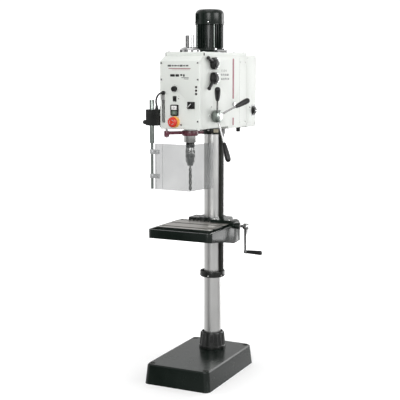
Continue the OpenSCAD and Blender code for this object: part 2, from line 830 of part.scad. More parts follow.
module quill() {
    color(steel) at_column() difference() {
        union() {
            difference() {
                rod_z(quill_r, 0, quill_y, [quill_z, quill_top]);
                block([-quill_rack_w / 2, quill_rack_w / 2],
                    [quill_y + quill_rack_tip - 2.05 * tooth_m, quill_y + quill_r + cut],
                    [feed_z - 22, quill_top + cut]);
            }
            translate([-quill_rack_w / 2, quill_y + quill_rack_tip, 0]) rotate([90, 0, 90])
                linear_extrude(quill_rack_w)
                    polygon(rack_points(feed_z - 22, quill_top, feed_z, 5));
        }
        rod_z(20, 0, quill_y, [quill_z - cut, quill_top + cut]);
        rod_z(bearing_r, 0, quill_y, [quill_z - cut, quill_z + 3 + bearing_h]);
        rod_z(24, 0, quill_y, [quill_top - 2 - bearing_h, quill_top + cut]);
    }
}

module bearing(outer, z) {
    difference() {
        rod_z(outer, 0, quill_y, [z, z + bearing_h]);
        rod_z(spindle_r + run, 0, quill_y, [z - cut, z + bearing_h + cut]);
        for (end = [z - cut, z + bearing_h - 1]) difference() {
            rod_z(outer - 3, 0, quill_y, [end, end + 2]);
            rod_z(spindle_r + 3, 0, quill_y, [end - cut, end + 3]);
        }
    }
}

module spindle_bearings() {
    color(steel) at_column() {
        bearing(bearing_r, quill_z + 3);
        bearing(24, quill_top - 2 - bearing_h);
    }
}

module spindle() {
    color(steel) at_column() {
        rod_z(9, 0, quill_y, [quill_z - 26, quill_z + 1]);
        rod_z(spindle_r, 0, quill_y, [quill_z, quill_top + 4]);
        rod_z(spline_core_r, 0, quill_y, [quill_top, spindle_top]);
        for (a = [0, 60, 120])
            translate([0, quill_y, quill_top + 3]) rotate(a) translate([-spline_r, -spline_w / 2, 0])
                cube([2 * spline_r, spline_w, spindle_top - quill_top - 6]);
    }
}

// ---- Chuck ----

// Axis of jaw `i`: it runs down and inwards to the shank
module jaw_place(i) {
    translate([0, quill_y, chuck_z]) rotate(120 * i) translate([shank_r + jaw_r * cos(jaw_lean) - 1, 0, -2])
        rotate([0, jaw_lean, 0]) children();
}

module chuck_body() {
    z = chuck_z;
    color(steel) at_column() difference() {
        translate([0, quill_y, 0]) rotate_extrude() polygon([
            [0, z], [15, z], [18.5, z + 15], [18.5, z + 90], [21, z + 91], [22, z + 94], [22, z + 110],
            [19, z + 116 - slack], [0, z + 116 - slack]]);
        rod_z(shank_r, 0, quill_y, [z - cut, z + 62]);
        rod_z(9, 0, quill_y, [quill_z - 26, quill_z + cut]);
        for (i = [0 : 2]) jaw_place(i) translate([0, 0, -8]) cylinder(r = jaw_r + run, h = jaw_len + 14);
    }
}

module chuck_sleeve() {
    z = chuck_z;
    r = chuck_d / 2;
    color(steel) at_column() translate([0, quill_y, 0]) rotate_extrude() polygon([
        [18.5 + run, z + 14], [20.5, z + 14], [r - 0.6, z + 24], [r, z + 26], [r, z + 84], [r - 1, z + 86],
        [r - 1, z + 90 - slack], [18.5 + run, z + 90 - slack]]);
}

// Each jaw is ground flat where it grips the shank
module chuck_jaw(i) {
    color(steel) at_column() difference() {
        jaw_place(i) cylinder(r = jaw_r, h = jaw_len);
        rod_z(shank_r + run, 0, quill_y, [chuck_z - 10, chuck_z + 62]);
        rod_z(30, 0, quill_y, [chuck_z - 12, chuck_z - 2]);
    }
}

module chuck_jaw_1() { chuck_jaw(0); }

module chuck_jaw_2() { chuck_jaw(1); }

module chuck_jaw_3() { chuck_jaw(2); }

// Cross-section of the twist drill: two lands and two flutes
function flute_points(r) = [for (a = [0 : 22.5 : 337.5]) on_circle(r * (0.68 + 0.32 * pow(abs(cos(a)), 0.7)), a)];

module drill_bit() {
    r = bit_d / 2;
    flute_top = chuck_z - 22;
    point_h = 6;
    color(steel) at_column() translate([0, quill_y, 0]) {
        rod_z(shank_r, 0, 0, [chuck_z - 12, chuck_z + 60]);
        translate([0, 0, flute_top]) cylinder(r1 = r, r2 = shank_r, h = 10);
        translate([0, 0, bit_z + point_h])
            linear_extrude(flute_top - bit_z - point_h, twist = -540, slices = 36, $fn = 16)
                polygon(flute_points(r));
        translate([0, 0, bit_z]) cylinder(r1 = 0.6, r2 = 0.68 * r, h = point_h);
    }
}

// ---- Gearbox ----

module spindle_gear() {
    color(steel) at_column() difference() {
        union() {
            rod_z(18, 0, quill_y, [web_z - 2, lid_z + 6 - slack]);
            translate([0, quill_y, level_a]) gear(36, gear_m, gear_t);
        }
        rod_z(spline_core_r + slack, 0, quill_y, [web_z - 3, lid_z + 7]);
        for (a = [0, 60, 120])
            translate([0, quill_y, web_z - 3]) rotate(a)
                translate([-spline_r - slack, -spline_w / 2 - slack, 0])
                    cube([2 * (spline_r + slack), spline_w + 2 * slack, lid_z - web_z + 10]);
    }
}

module intermediate_gears() {
    color(steel) at_column() translate([0, shaft_2_y, 0]) {
        rod_z(gear_shaft_r, 0, 0, [web_z, lid_z + 8]);
        translate([0, 0, level_a]) rotate(7.5) gear(24, gear_m, gear_t);
        translate([0, 0, level_b]) gear(36, gear_m, gear_t);
    }
}

module input_gears() {
    color(steel) at_column() translate([0, shaft_3_y, 0]) {
        rod_z(gear_shaft_r, 0, 0, [web_z, lid_z + 8]);
        translate([0, 0, level_b]) rotate(7.5) gear(24, gear_m, gear_t);
        translate([0, 0, level_c]) rotate(90) gear(42, gear_m, gear_t);
    }
}

// ---- Motor ----

module rotor() {
    color(steel) at_column() translate([0, motor_y, 0]) {
        rod_z(rotor_r, 0, 0, [level_c, cowl_z + 34]);
        rod_z(38, 0, 0, core_z);
        translate([0, 0, level_c]) gear(18, gear_m, gear_t);
        rod_z(20, 0, 0, [cowl_z + 12, cowl_z + 32]);
        rod_z(58, 0, 0, [cowl_z + 12, cowl_z + 15]);
        for (a = [0 : 45 : 315]) rotate(a) translate([16, -1.5, cowl_z + 13]) cube([41, 3, 20]);
    }
}

module motor_housing() {
    fins = 36;
    color(cast_green) at_column() translate([0, motor_y, 0]) {
        difference() {
            union() {
                translate([0, 0, motor_z]) rounded_block(flange, flange, flange_t, 14);
                rod_z(body_r, 0, 0, [motor_z, body_top]);
                for (i = [0 : fins - 1])
                    rotate(360 * (i + 0.5) / fins) translate([body_r - 4, -1.25, motor_z + flange_t + 10])
                        cube([12, 2.5, body_top - motor_z - flange_t - 12]);
                translate([0, 0, motor_z + flange_t]) cylinder(r1 = 70, r2 = body_r, h = 12);
            }
            rod_z(rotor_r + run, 0, 0, [motor_z - cut, body_top + cut]);
            rod_z(52, 0, 0, [motor_z + 20, core_z[0]]);
            rod_z(38 + 0.6, 0, 0, [core_z[0] - cut, core_z[1] + cut]);
            rod_z(52, 0, 0, [core_z[1], body_top - 10]);
            for (sx = [-1, 1], sy = [-1, 1])
                rod_z(5, sx * motor_bolt, sy * motor_bolt, [motor_z - cut, motor_z + flange_t + cut]);
            for (sx = [-1, 1], sy = [-1, 1])
                rod_z(11, sx * motor_bolt, sy * motor_bolt, [motor_z + flange_t, motor_z + flange_t + 30]);
        }
        block([-26, 26], [body_r - 4, 80], [motor_z + 32, motor_z + 84]);
    }
}

// Half section of the cowl, from the middle of its top to its lower edge
function cowl_outline(r, top, bend) = concat([[0, top]],
    [for (a = [90 : -10 : 0]) [r - bend + bend * cos(a), top - bend + bend * sin(a)]], [[r, cowl_z]]);

module fan_cowl() {
    r = motor_d / 2;
    color(cast_green) at_column() translate([0, motor_y, 0]) difference() {
        rotate_extrude() polygon(concat(cowl_outline(r, cowl_top, cowl_round), [[0, cowl_z]]));
        rotate_extrude() polygon(concat(
            cowl_outline(r - cowl_wall, cowl_top - cowl_wall, cowl_round - cowl_wall), [[r - cowl_wall, cowl_z - cut],
            [0, cowl_z - cut]]));
        for (ring = [[18, 8], [30, 14], [42, 20]], i = [0 : ring[1] - 1])
            rotate(360 * i / ring[1]) translate([ring[0], 0, cowl_top - 6]) cylinder(r = 3.4, h = 8);
    }
}

module spindle_cap() {
    color(steel) at_column() translate([0, quill_y, lid_top]) difference() {
        rotate_extrude() polygon(concat([[0, 0], [cap_foot_r, 0], [cap_foot_r, 4]],
            [for (a = [0 : 10 : 80]) [cap_r + (cap_foot_r - cap_r) * cos(a), 4 + (cap_foot_h - 4) * sin(a)]],
            [[cap_r, cap_foot_h], [cap_r, cap_h - 2], [cap_r - 2, cap_h], [0, cap_h]]));
        translate([0, 0, -cut]) cylinder(r = cap_r - cap_wall, h = cap_h - cap_wall);
    }
}

// ---- Depth stop ----

module depth_stop_arm() {
    z = [stop_z, stop_z + stop_t];
    reach_a = atan2(stop_at[1] - quill_y, stop_at[0]);
    reach_l = norm([stop_at[0], stop_at[1] - quill_y]);
    color(maroon) at_column() difference() {
        union() {
            rod_z(41, 0, quill_y, [z[0] - 4, z[1]]);
            rod_z(13, stop_at[0], stop_at[1], z);
            translate([0, quill_y, z[0] + 3]) rotate(reach_a) translate([-66, -9, 0]) cube([66 + reach_l, 18, 16]);
        }
        rod_z(quill_r, 0, quill_y, [z[0] - 5, z[1] + cut]);
        rod_z(rod_r, stop_at[0], stop_at[1], [z[0] - cut, z[1] + cut]);
        translate([0, quill_y, z[0] - 5]) rotate(reach_a) translate([-70, -1.5, 0]) cube([40, 3, stop_t + 8]);
    }
}

module depth_stop_knob() {
    color(maroon) at_column() difference() {
        rod_z(12.5, stop_at[0], stop_at[1], [stop_z - 8, stop_z - slack]);
        rod_z(rod_r + run, stop_at[0], stop_at[1], [stop_z - 9, stop_z]);
    }
}

module depth_rod() {
    x = stop_at[0];
    low = head_z + 141;
    color(steel) at_column() {
        rod_z(rod_r, x, stop_at[1], [stop_z - 12, head_z + 176]);
        block([x - 3, x + 3], [-reach - 2, stop_at[1]], [low + 7, low + 17]);
        block([x - 9, x + 9], [-reach - 5, -reach - slack], [low, low + 25]);
    }
}

// ---- Chuck guard ----

module guard_bracket() {
    color(black) at_column() difference() {
        union() {
            block([-head_x - 6, -head_x], [-reach + 5, -300], [head_z + 8, head_z + 111]);
            block([-176, -head_x - 4], [rod_at[1] - 20, -356], block_z);
        }
        rod_z(guard_r + run, rod_at[0], rod_at[1], [block_z[0] - cut, block_z[1] + cut]);
        rod_x(5 + run, [-180, rod_at[0]], rod_at[1], block_z[0] + 15);
    }
}

module guard_clamp_knob() {
    end_x = rod_at[0] - guard_r - slack;
    color(black) at_column() translate([end_x, rod_at[1], block_z[0] + 15]) rotate([0, -90, 0])
        ball_lever(27, 5, 5, 11.5);
}

module guard_rod() {
    color(steel) at_column() {
        rod_z(guard_pin_r, rod_at[0], rod_at[1], [guard_low + 2, guard_high + 3]);
        rod_z(guard_r, rod_at[0], rod_at[1], [guard_high + 2, block_z[1] + 47]);
    }
}

module guard_hinges() {
    color(steel) at_column() for (z = [guard_low + 56, guard_high - 52]) difference() {
        union() {
            rod_z(11, rod_at[0], rod_at[1], [z, z + 22]);
            block([rod_at[0], -108], [rod_at[1] - 7, guard_path[0][1] - guard_t / 2], [z, z + 22]);
        }
        rod_z(guard_pin_r + run, rod_at[0], rod_at[1], [z - cut, z + 23]);
    }
}

module guard_panel() {
    color([0.7, 0.75, 0.78, 0.5]) at_column() translate([0, 0, guard_low]) linear_extrude(guard_high - guard_low)
        polygon(concat(beside(guard_path, guard_t / 2), reversed(beside(guard_path, -guard_t / 2))));
}

// ---- Cables ----

function tangent(path, i) = let (a = path[max(i - 1, 0)], b = path[min(i + 1, len(path) - 1)]) (b - a) / norm(b - a);

// Ring of points round a path point, square to the path
function path_ring(path, i, r, sides) = let (t = tangent(path, i), u = cross(t, [0.3, 1, 0.1]), n = u / norm(u),
        b = cross(t, n))
    [for (k = [0 : sides - 1]) path[i] + r * (cos(360 * k / sides) * n + sin(360 * k / sides) * b)];

module swept_tube(path, r, sides) {
    n = len(path);
    rings = [for (i = [0 : n - 1]) each path_ring(path, i, r, sides)];
    sides_faces = [for (i = [0 : n - 2], k = [0 : sides - 1]) let (a = i * sides + k, b = i * sides + (k + 1) % sides)
        each [[a, a + sides, b], [b, a + sides, b + sides]]];
    ends = [[for (k = [0 : sides - 1]) k], [for (k = [sides - 1 : -1 : 0]) (n - 1) * sides + k]];
    polyhedron(rings, concat(sides_faces, ends));
}

module guard_cable() { color(black) at_column() swept_tube(cable_path, cable_r - 0.2, 12); }

module cable_gland() {
    color(black) at_column() translate([80, 150, 0]) difference() {
        union() {
            rod_z(7.9, 0, 0, [rear_z - cut, head_z + 4]);
            rod_z(13, 0, 0, [rear_z - 8, rear_z]);
            rod_z(11, 0, 0, [rear_z - 26, rear_z]);
        }
        rod_z(5, 0, 0, [rear_z - 27, head_z + 5]);
    }
}

base_casting();
column_foot();
frame_bolts();
column();
rack_rings();
rack();
table_casting();
table_clamp_lever();
crank_worm();
worm_wheel();
crank_arm();
crank_grip();
head_casting();
front_cover();
top_cover();
cover_screws();
electrical_box();
main_switch();
upper_gear_lever();
lower_gear_lever();
speed_knob();
rocker_switch();
control_bezels();
estop_base();
start_button();
stop_button();
selector_knob();
estop_button();
feed_shaft();
feed_hub();
feed_arms();
feed_grips();
spring_housing();
return_spring();
quill();
spindle();
spindle_bearings();
chuck_body();
chuck_sleeve();
chuck_jaw_1();
chuck_jaw_2();
chuck_jaw_3();
drill_bit();
spindle_gear();
intermediate_gears();
input_gears();
rotor();
motor_housing();
fan_cowl();
spindle_cap();
depth_stop_arm();
depth_stop_knob();
depth_rod();
guard_bracket();
guard_clamp_knob();
guard_rod();
guard_hinges();
guard_panel();
guard_cable();
cable_gland();
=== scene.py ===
# Looks of the pillar drilling machine: camera, studio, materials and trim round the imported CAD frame.
import json
import math

import bpy
from mathutils import Matrix, Vector


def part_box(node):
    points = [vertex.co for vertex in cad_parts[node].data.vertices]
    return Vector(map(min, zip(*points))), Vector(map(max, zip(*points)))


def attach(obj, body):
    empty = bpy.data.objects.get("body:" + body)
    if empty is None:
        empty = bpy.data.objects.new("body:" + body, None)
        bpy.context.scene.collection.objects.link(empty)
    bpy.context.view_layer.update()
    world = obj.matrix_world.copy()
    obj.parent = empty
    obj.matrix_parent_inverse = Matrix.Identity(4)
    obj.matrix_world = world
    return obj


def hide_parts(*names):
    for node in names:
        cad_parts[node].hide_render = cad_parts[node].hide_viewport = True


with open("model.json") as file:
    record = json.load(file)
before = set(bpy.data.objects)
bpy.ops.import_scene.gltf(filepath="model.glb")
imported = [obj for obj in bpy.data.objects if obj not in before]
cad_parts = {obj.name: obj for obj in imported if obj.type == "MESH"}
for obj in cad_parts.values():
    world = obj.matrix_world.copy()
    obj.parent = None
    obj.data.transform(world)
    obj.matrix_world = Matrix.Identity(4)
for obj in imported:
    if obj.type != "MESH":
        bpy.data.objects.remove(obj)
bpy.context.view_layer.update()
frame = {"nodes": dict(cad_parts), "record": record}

MM = 0.001
NODES = frame["nodes"]

# ---- Places taken from the frame, in metres ----

FRONT_LOW, FRONT_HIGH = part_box("front_cover")
FRONT_Y = FRONT_LOW.y                      # face of the front panel
SIDE_X = FRONT_HIGH.x                      # right side of the head
HEAD_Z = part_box("head_casting")[0].z + 14 * MM   # the head's underside; its rear part is lower
LID_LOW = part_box("top_cover")[0]
COLUMN_LOW, COLUMN_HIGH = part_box("column")
COLUMN = (COLUMN_LOW + COLUMN_HIGH) / 2
MOTOR_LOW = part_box("motor_housing")[0]
COWL_LOW, COWL_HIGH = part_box("fan_cowl")
MOTOR = (COWL_LOW + COWL_HIGH) / 2
QUILL_LOW, QUILL_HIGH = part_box("quill")
QUILL = (QUILL_LOW + QUILL_HIGH) / 2
TABLE_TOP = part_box("table_casting")[1].z   # top of the raised rear part
WORK_Z = TABLE_TOP - 16 * MM               # the ground work surface
ANCHOR_X, ANCHOR_Y = 150 * MM, 250 * MM    # half the spacing of the anchor bolts

# ---- Places on the head, in millimetres ----

# On the front panel: x, z and, where a control has a mark of its own, how far out its face is
SPEED_KNOB = (-26, 197)
START_KEY = (-26, 81, 9)
STOP_KEY = (-26, 105, 11)
SELECTOR = (63, 118, 21)
STOP_CAP = (-26, 36, 36.2)
# On the right side
LEVER_Y = -234                             # both gear levers
SWITCH = (293, 68)                         # y and z of the main switch
PRINT = 0.25                               # thickness of a printed mark
FULL_TURN = 359.9                          # degrees: a ring that stays one outline


# ---- Camera and studio ----

VIEW = math.radians(25.871)
PITCH = math.radians(7.016)
ROOM = 0.32                                # light that comes from every side of the room


def add_camera():
    data = bpy.data.cameras.new("camera")
    data.lens = 85.5
    data.sensor_width = 36
    data.shift_y = -0.04
    data.clip_end = 200
    cam = bpy.data.objects.new("camera", data)
    cam.location = (2.1139, COLUMN.y - 4.5117, 1.5962)
    cam.rotation_euler = (math.pi / 2 - PITCH, 0, VIEW)
    bpy.context.scene.collection.objects.link(cam)
    bpy.context.scene.camera = cam


def facing(azimuth, elevation, distance, height=1.0):
    """A place seen from the machine at `azimuth` from its front, and the rotation that looks back at it."""
    a, e = math.radians(azimuth), math.radians(elevation)
    out = Vector((math.sin(a) * math.cos(e), -math.cos(a) * math.cos(e), math.sin(e)))
    return Vector((0, 0, height)) + out * distance, out.to_track_quat("Z", "Y").to_euler()


def softbox(name, azimuth, elevation, distance, size, power, height=1.0):
    data = bpy.data.lights.new(name, "AREA")
    data.shape = "RECTANGLE"
    data.size, data.size_y = size
    data.energy = power
    light = bpy.data.objects.new(name, data)
    light.location, light.rotation_euler = facing(azimuth, elevation, distance, height)
    light.visible_camera = False
    bpy.context.scene.collection.objects.link(light)
    return light


def flat_material(name, colour, strength):
    mat = bpy.data.materials.new(name)
    mat.use_nodes = True
    bsdf = mat.node_tree.nodes["Principled BSDF"]
    bsdf.inputs["Base Color"].default_value = (*colour, 1)
    bsdf.inputs["Roughness"].default_value = 0.9
    bsdf.inputs["Specular IOR Level"].default_value = 0.0
    bsdf.inputs["Emission Color"].default_value = (1, 1, 1, 1)
    bsdf.inputs["Emission Strength"].default_value = strength
    return mat


def stage_mesh(name, verts, faces, mat):
    mesh = bpy.data.meshes.new(name)
    mesh.from_pydata(verts, [], faces)
    mesh.materials.append(mat)
    obj = bpy.data.objects.new(name, mesh)
    bpy.context.scene.collection.objects.link(obj)
    return obj


def disc_points(r, n, z=0.0):
    return [(r * math.cos(2 * math.pi * i / n), r * math.sin(2 * math.pi * i / n), z) for i in range(n)]


def floor_material():
    """White floor that glows more with distance, so that a soft shadow stays only round the base."""
    mat = flat_material("floor_white", (0.78, 0.78, 0.78), 1.0)
    nt = mat.node_tree
    length = nt.nodes.new("ShaderNodeVectorMath")
    length.operation = "LENGTH"
    nt.links.new(nt.nodes.new("ShaderNodeTexCoord").outputs["Object"], length.inputs[0])
    strength = mapped(nt, length.outputs["Value"], (0.45, 1.6), (0.26, 1.0))
    nt.links.new(strength, nt.nodes["Principled BSDF"].inputs["Emission Strength"])
    return mat


def add_floor():
    """Floor that no gloss or diffuse bounce sees, or upright faces would turn white from below."""
    r, around = 60, 96
    floor = stage_mesh("floor", disc_points(r, around), [list(range(around))], floor_material())
    floor.visible_glossy = False
    floor.visible_diffuse = False


def add_backdrop():
    """White all round for the camera only, so that it neither lights the machine nor shows in its gloss."""
    rings, around, r = 12, 48, 70
    verts = []
    for i in range(rings + 1):
        e = math.radians(-4 + 94 * i / rings)
        verts += disc_points(r * math.cos(e), around, r * math.sin(e))
    faces = [(i * around + k, i * around + (k + 1) % around, (i + 1) * around + (k + 1) % around,
              (i + 1) * around + k) for i in range(rings) for k in range(around)]
    dome = stage_mesh("backdrop", verts, faces, flat_material("backdrop_white", (0, 0, 0), 1.1))
    dome.visible_diffuse = False
    dome.visible_glossy = False
    dome.visible_shadow = False
    dome.visible_volume_scatter = False


def add_card(name, azimuth, size, distance, height):
    """Black card that only gloss reflects: it draws the dark lines on round steel."""
    mat = flat_material(name, (0.01, 0.01, 0.01), 0.0)
    w, h = size[0] / 2, size[1] / 2
    card = stage_mesh(name, [(-w, -h, 0), (w, -h, 0), (w, h, 0), (-w, h, 0)], [(0, 1, 2, 3)], mat)
    card.location, card.rotation_euler = facing(azimuth, 0, distance, height)
    card.visible_camera = False
    card.visible_diffuse = False
    card.visible_shadow = False
    card.visible_transmission = False


def glow(nt, coords, direction, low, high, amount):
    """Light of `amount` from round `direction`, fading from its dot product `high` down to `low`."""
    dot = nt.nodes.new("ShaderNodeVectorMath")
    dot.operation = "DOT_PRODUCT"
    dot.inputs[1].default_value = direction
    nt.links.new(coords, dot.inputs[0])
    ramp = nt.nodes.new("ShaderNodeMapRange")
    ramp.interpolation_type = "SMOOTHSTEP"
    ramp.inputs["From Min"].default_value, ramp.inputs["From Max"].default_value = low, high
    ramp.inputs["To Min"].default_value, ramp.inputs["To Max"].default_value = 0.0, amount
    nt.links.new(dot.outputs["Value"], ramp.inputs["Value"])
    return ramp.outputs["Result"]


def add_world():
    """Even light from all round, brighter behind, before, beside and above the machine."""
    world = bpy.data.worlds.new("studio")
    world.use_nodes = True
    nt = world.node_tree
    coords = nt.nodes.new("ShaderNodeTexCoord").outputs["Generated"]
    back, right = (-math.sin(VIEW), math.cos(VIEW), 0.0), (math.cos(VIEW), math.sin(VIEW), 0.0)
    front, left, above = (math.sin(VIEW), -math.cos(VIEW), -0.1), (-1, 0, 0), (0, 0, 1)
    # Direction, the dot products where the glow starts and is full, and its strength; the last row is even
    glows = ((back, 0.2, 0.9, 0.45), (right, 0.35, 0.9, 0.36), (front, 0.55, 0.95, 0.40),
             (left, 0.45, 0.95, 0.40), (above, 0.1, 0.9, 0.25), (above, -1.01, -1.0, ROOM))
    total = None
    for row in glows:
        part = glow(nt, coords, *row)
        if total:
            plus = nt.nodes.new("ShaderNodeMath")
            plus.operation = "ADD"
            nt.links.new(total, plus.inputs[0])
            nt.links.new(part, plus.inputs[1])
            part = plus.outputs["Value"]
        total = part
    nt.links.new(total, nt.nodes["Background"].inputs["Strength"])
    nt.nodes["Background"].inputs["Color"].default_value = (1, 1, 1, 1)
    bpy.context.scene.world = world


def add_studio():
    add_floor()
    add_backdrop()
    add_world()
    softbox("key_light", 94, 22, 4.6, (1.3, 3.4), 26)
    softbox("gloss_light", 82, 21, 4.6, (2.6, 2.0), 90).visible_diffuse = False
    softbox("front_light", 18, 20, 5.2, (2.0, 3.2), 125)
    softbox("left_light", -62, 12, 4.8, (0.5, 3.2), 9)
    softbox("top_light", 20, 84, 4.2, (2.6, 2.6), 34)
    softbox("rim_light", 154, 2, 4.6, (1.6, 3.2), 62)
    add_card("card_right", 44, (0.16, 5.0), 3.2, 1.2)
    add_card("card_left", -27, (0.55, 5.0), 3.6, 1.2)
    add_card("card_high_left", -105, (5.0, 1.2), 3.4, 2.05)
    add_card("card_far_right", 122, (0.5, 5.0), 3.6, 1.2)
    bpy.context.scene.view_settings.view_transform = "Standard"


# ---- Materials ----


def scaled(colour, k):
    return tuple(min(1.0, c * k) for c in colour) + (1.0,)


def noise(nt, vector, scale, detail=4.0):
    n = nt.nodes.new("ShaderNodeTexNoise")
    n.inputs["Scale"].default_value = scale
    n.inputs["Detail"].default_value = detail
    nt.links.new(vector, n.inputs["Vector"])
    return n.outputs["Fac"]


def mapped(nt, value, from_range, to_range):
    m = nt.nodes.new("ShaderNodeMapRange")
    m.inputs["From Min"].default_value, m.inputs["From Max"].default_value = from_range
    m.inputs["To Min"].default_value, m.inputs["To Max"].default_value = to_range
    nt.links.new(value, m.inputs["Value"])
    return m.outputs["Result"]


def mixed(nt, factor, a, b):
    m = nt.nodes.new("ShaderNodeMix")
    m.data_type = "RGBA"
    nt.links.new(factor, m.inputs["Factor"])
    for socket, value in ((m.inputs["A"], a), (m.inputs["B"], b)):
        if isinstance(value, tuple):
            socket.default_value = value
        else:
            nt.links.new(value, socket)
    return m.outputs["Result"]


def surface(name, colour, rough, metallic=0.0, mottle=0.08, patch=9.0, grain=(1, 1, 1), grain_scale=400.0,
            bump=0.12, depth=0.0002, rough_spread=0.06, wear=None, wear_from=0.53, coat=0.0, specular=0.5,
            anisotropy=0.0):
    """Procedural finish: broad colour patches, fine grain, uneven gloss, bump and wear on sharp edges."""
    mat = bpy.data.materials.new(name)
    mat.use_nodes = True
    nt = mat.node_tree
    bsdf = nt.nodes["Principled BSDF"]
    coords = nt.nodes.new("ShaderNodeTexCoord").outputs["Object"]
    stretch = nt.nodes.new("ShaderNodeMapping")
    stretch.inputs["Scale"].default_value = grain
    nt.links.new(coords, stretch.inputs["Vector"])
    patches = noise(nt, coords, patch, 3.0)
    fine = noise(nt, stretch.outputs["Vector"], grain_scale, 5.0)
    tone = mixed(nt, mapped(nt, patches, (0.3, 0.7), (0, 1)), scaled(colour, 1 - mottle),
                 scaled(colour, 1 + mottle))
    tone = mixed(nt, mapped(nt, fine, (0.25, 0.75), (0, 0.35)), tone, scaled(colour, 1 - 2 * mottle))
    if wear:
        edge = nt.nodes.new("ShaderNodeNewGeometry").outputs["Pointiness"]
        rub = nt.nodes.new("ShaderNodeMath")
        rub.operation = "MULTIPLY"
        nt.links.new(mapped(nt, edge, (wear_from, wear_from + 0.08), (0, 0.8)), rub.inputs[0])
        nt.links.new(mapped(nt, noise(nt, coords, 60, 4.0), (0.45, 0.6), (0, 1)), rub.inputs[1])
        tone = mixed(nt, rub.outputs["Value"], tone, wear + (1.0,))
    nt.links.new(tone, bsdf.inputs["Base Color"])
    gloss = nt.nodes.new("ShaderNodeMath")
    gloss.operation = "ADD"
    nt.links.new(mapped(nt, patches, (0.3, 0.7), (rough - rough_spread / 2, rough + rough_spread / 2)),
                 gloss.inputs[0])
    nt.links.new(mapped(nt, fine, (0.3, 0.7), (-rough_spread / 2, rough_spread / 2)), gloss.inputs[1])
    nt.links.new(gloss.outputs["Value"], bsdf.inputs["Roughness"])
    bumps = nt.nodes.new("ShaderNodeBump")
    bumps.inputs["Strength"].default_value = bump
    bumps.inputs["Distance"].default_value = depth
    nt.links.new(fine, bumps.inputs["Height"])
    nt.links.new(bumps.outputs["Normal"], bsdf.inputs["Normal"])
    bsdf.inputs["Metallic"].default_value = metallic
    bsdf.inputs["Coat Weight"].default_value = coat
    bsdf.inputs["Coat Roughness"].default_value = 0.12
    bsdf.inputs["Specular IOR Level"].default_value = specular
    bsdf.inputs["Anisotropic"].default_value = anisotropy
    return mat


def clear_sheet():
    """Clear sheet: grey tint, uneven haze and fine upright wiping marks."""
    mat = surface("clear_sheet", (0.09, 0.10, 0.10), 0.14, mottle=0.05, patch=3.0, grain=(1, 1, 0.08),
                  grain_scale=120.0, bump=0.02, specular=0.4)
    nt = mat.node_tree
    haze = noise(nt, nt.nodes.new("ShaderNodeTexCoord").outputs["Object"], 5.0, 5.0)
    nt.links.new(mapped(nt, haze, (0.3, 0.7), (0.36, 0.43)), nt.nodes["Principled BSDF"].inputs["Alpha"])
    return mat


GREEN_BLACK = (0.0042, 0.0088, 0.0062)
STEEL = (0.60, 0.60, 0.59)
TURNED = (1, 1, 14)                        # grain that runs round an upright axis

MATERIALS = {
    "cast_paint": surface("cast_paint", GREEN_BLACK, 0.24, mottle=0.15, patch=14, grain_scale=320,
                          bump=0.10, wear=(0.06, 0.075, 0.07), wear_from=0.62, specular=0.34),
    "head_paint": surface("head_paint", (0.70, 0.725, 0.69), 0.40, mottle=0.018, patch=5, grain_scale=900,
                          bump=0.08, wear=(0.55, 0.56, 0.53), wear_from=0.60, specular=0.35),
    "ground_steel": surface("ground_steel", (0.62, 0.62, 0.61), 0.34, 1.0, mottle=0.05, grain=TURNED,
                            grain_scale=60, bump=0.05, anisotropy=0.35),
    "black_metal": surface("black_metal", (0.011, 0.012, 0.011), 0.28, mottle=0.15, patch=20,
                           grain_scale=420, bump=0.12, wear=(0.08, 0.08, 0.08), wear_from=0.56,
                           specular=0.35),
    "bright_steel": surface("bright_steel", (0.45, 0.45, 0.45), 0.15, 1.0, mottle=0.04, grain=TURNED,
                            grain_scale=50, bump=0.03),
    "machined_steel": surface("machined_steel", STEEL, 0.28, 1.0, mottle=0.08, grain=TURNED, grain_scale=90,
                              bump=0.12),
    "hub_steel": surface("hub_steel", (0.27, 0.30, 0.28), 0.32, 1.0, mottle=0.10, patch=40,
                         grain=(14, 1, 1), grain_scale=90, bump=0.15),
    "black_plastic": surface("black_plastic", (0.010, 0.010, 0.010), 0.34, mottle=0.12, patch=30,
                             grain_scale=1200, bump=0.12, wear=(0.035, 0.035, 0.035), specular=0.35),
    "green_plastic": surface("green_plastic", (0.10, 0.15, 0.11), 0.36, mottle=0.08, patch=60,
                             grain_scale=1200),
    "white_plastic": surface("white_plastic", (0.78, 0.78, 0.77), 0.30, mottle=0.03, patch=60,
                             grain_scale=1200),
    "red_plastic": surface("red_plastic", (0.62, 0.03, 0.012), 0.28, mottle=0.08, patch=60,
                           grain_scale=1200),
    "yellow_plastic": surface("yellow_plastic", (0.86, 0.46, 0.10), 0.36, mottle=0.06, patch=60,
                              grain_scale=1200),
    "maroon_paint": surface("maroon_paint", (0.115, 0.012, 0.032), 0.30, mottle=0.10, patch=40,
                            grain_scale=500, wear=(0.30, 0.18, 0.18), coat=0.2),
    "clear_sheet": clear_sheet(),
    "drill_steel": surface("drill_steel", (0.42, 0.42, 0.41), 0.16, 1.0, mottle=0.06, patch=80,
                           grain_scale=200, bump=0.05),
    "cable_rubber": surface("cable_rubber", (0.014, 0.014, 0.014), 0.46, mottle=0.15, patch=60,
                            grain_scale=700, bump=0.25),
}
WORK_TOP = surface("work_top", (0.36, 0.345, 0.32), 0.36, 0.8, mottle=0.10, patch=22, grain=(1, 9, 1),
                   grain_scale=120, bump=0.12, anisotropy=0.3)
CAST_BARE = surface("cast_bare", (0.10, 0.11, 0.11), 0.40, 0.6, mottle=0.14, patch=40, grain_scale=300,
                    bump=0.3)
RACK_DARK = surface("rack_dark", (0.022, 0.024, 0.020), 0.55, mottle=0.15, patch=30, grain_scale=300,
                    bump=0.2, specular=0.2)
PRINT_GREY = surface("print_grey", (0.09, 0.09, 0.09), 0.45, mottle=0.08, grain_scale=900)
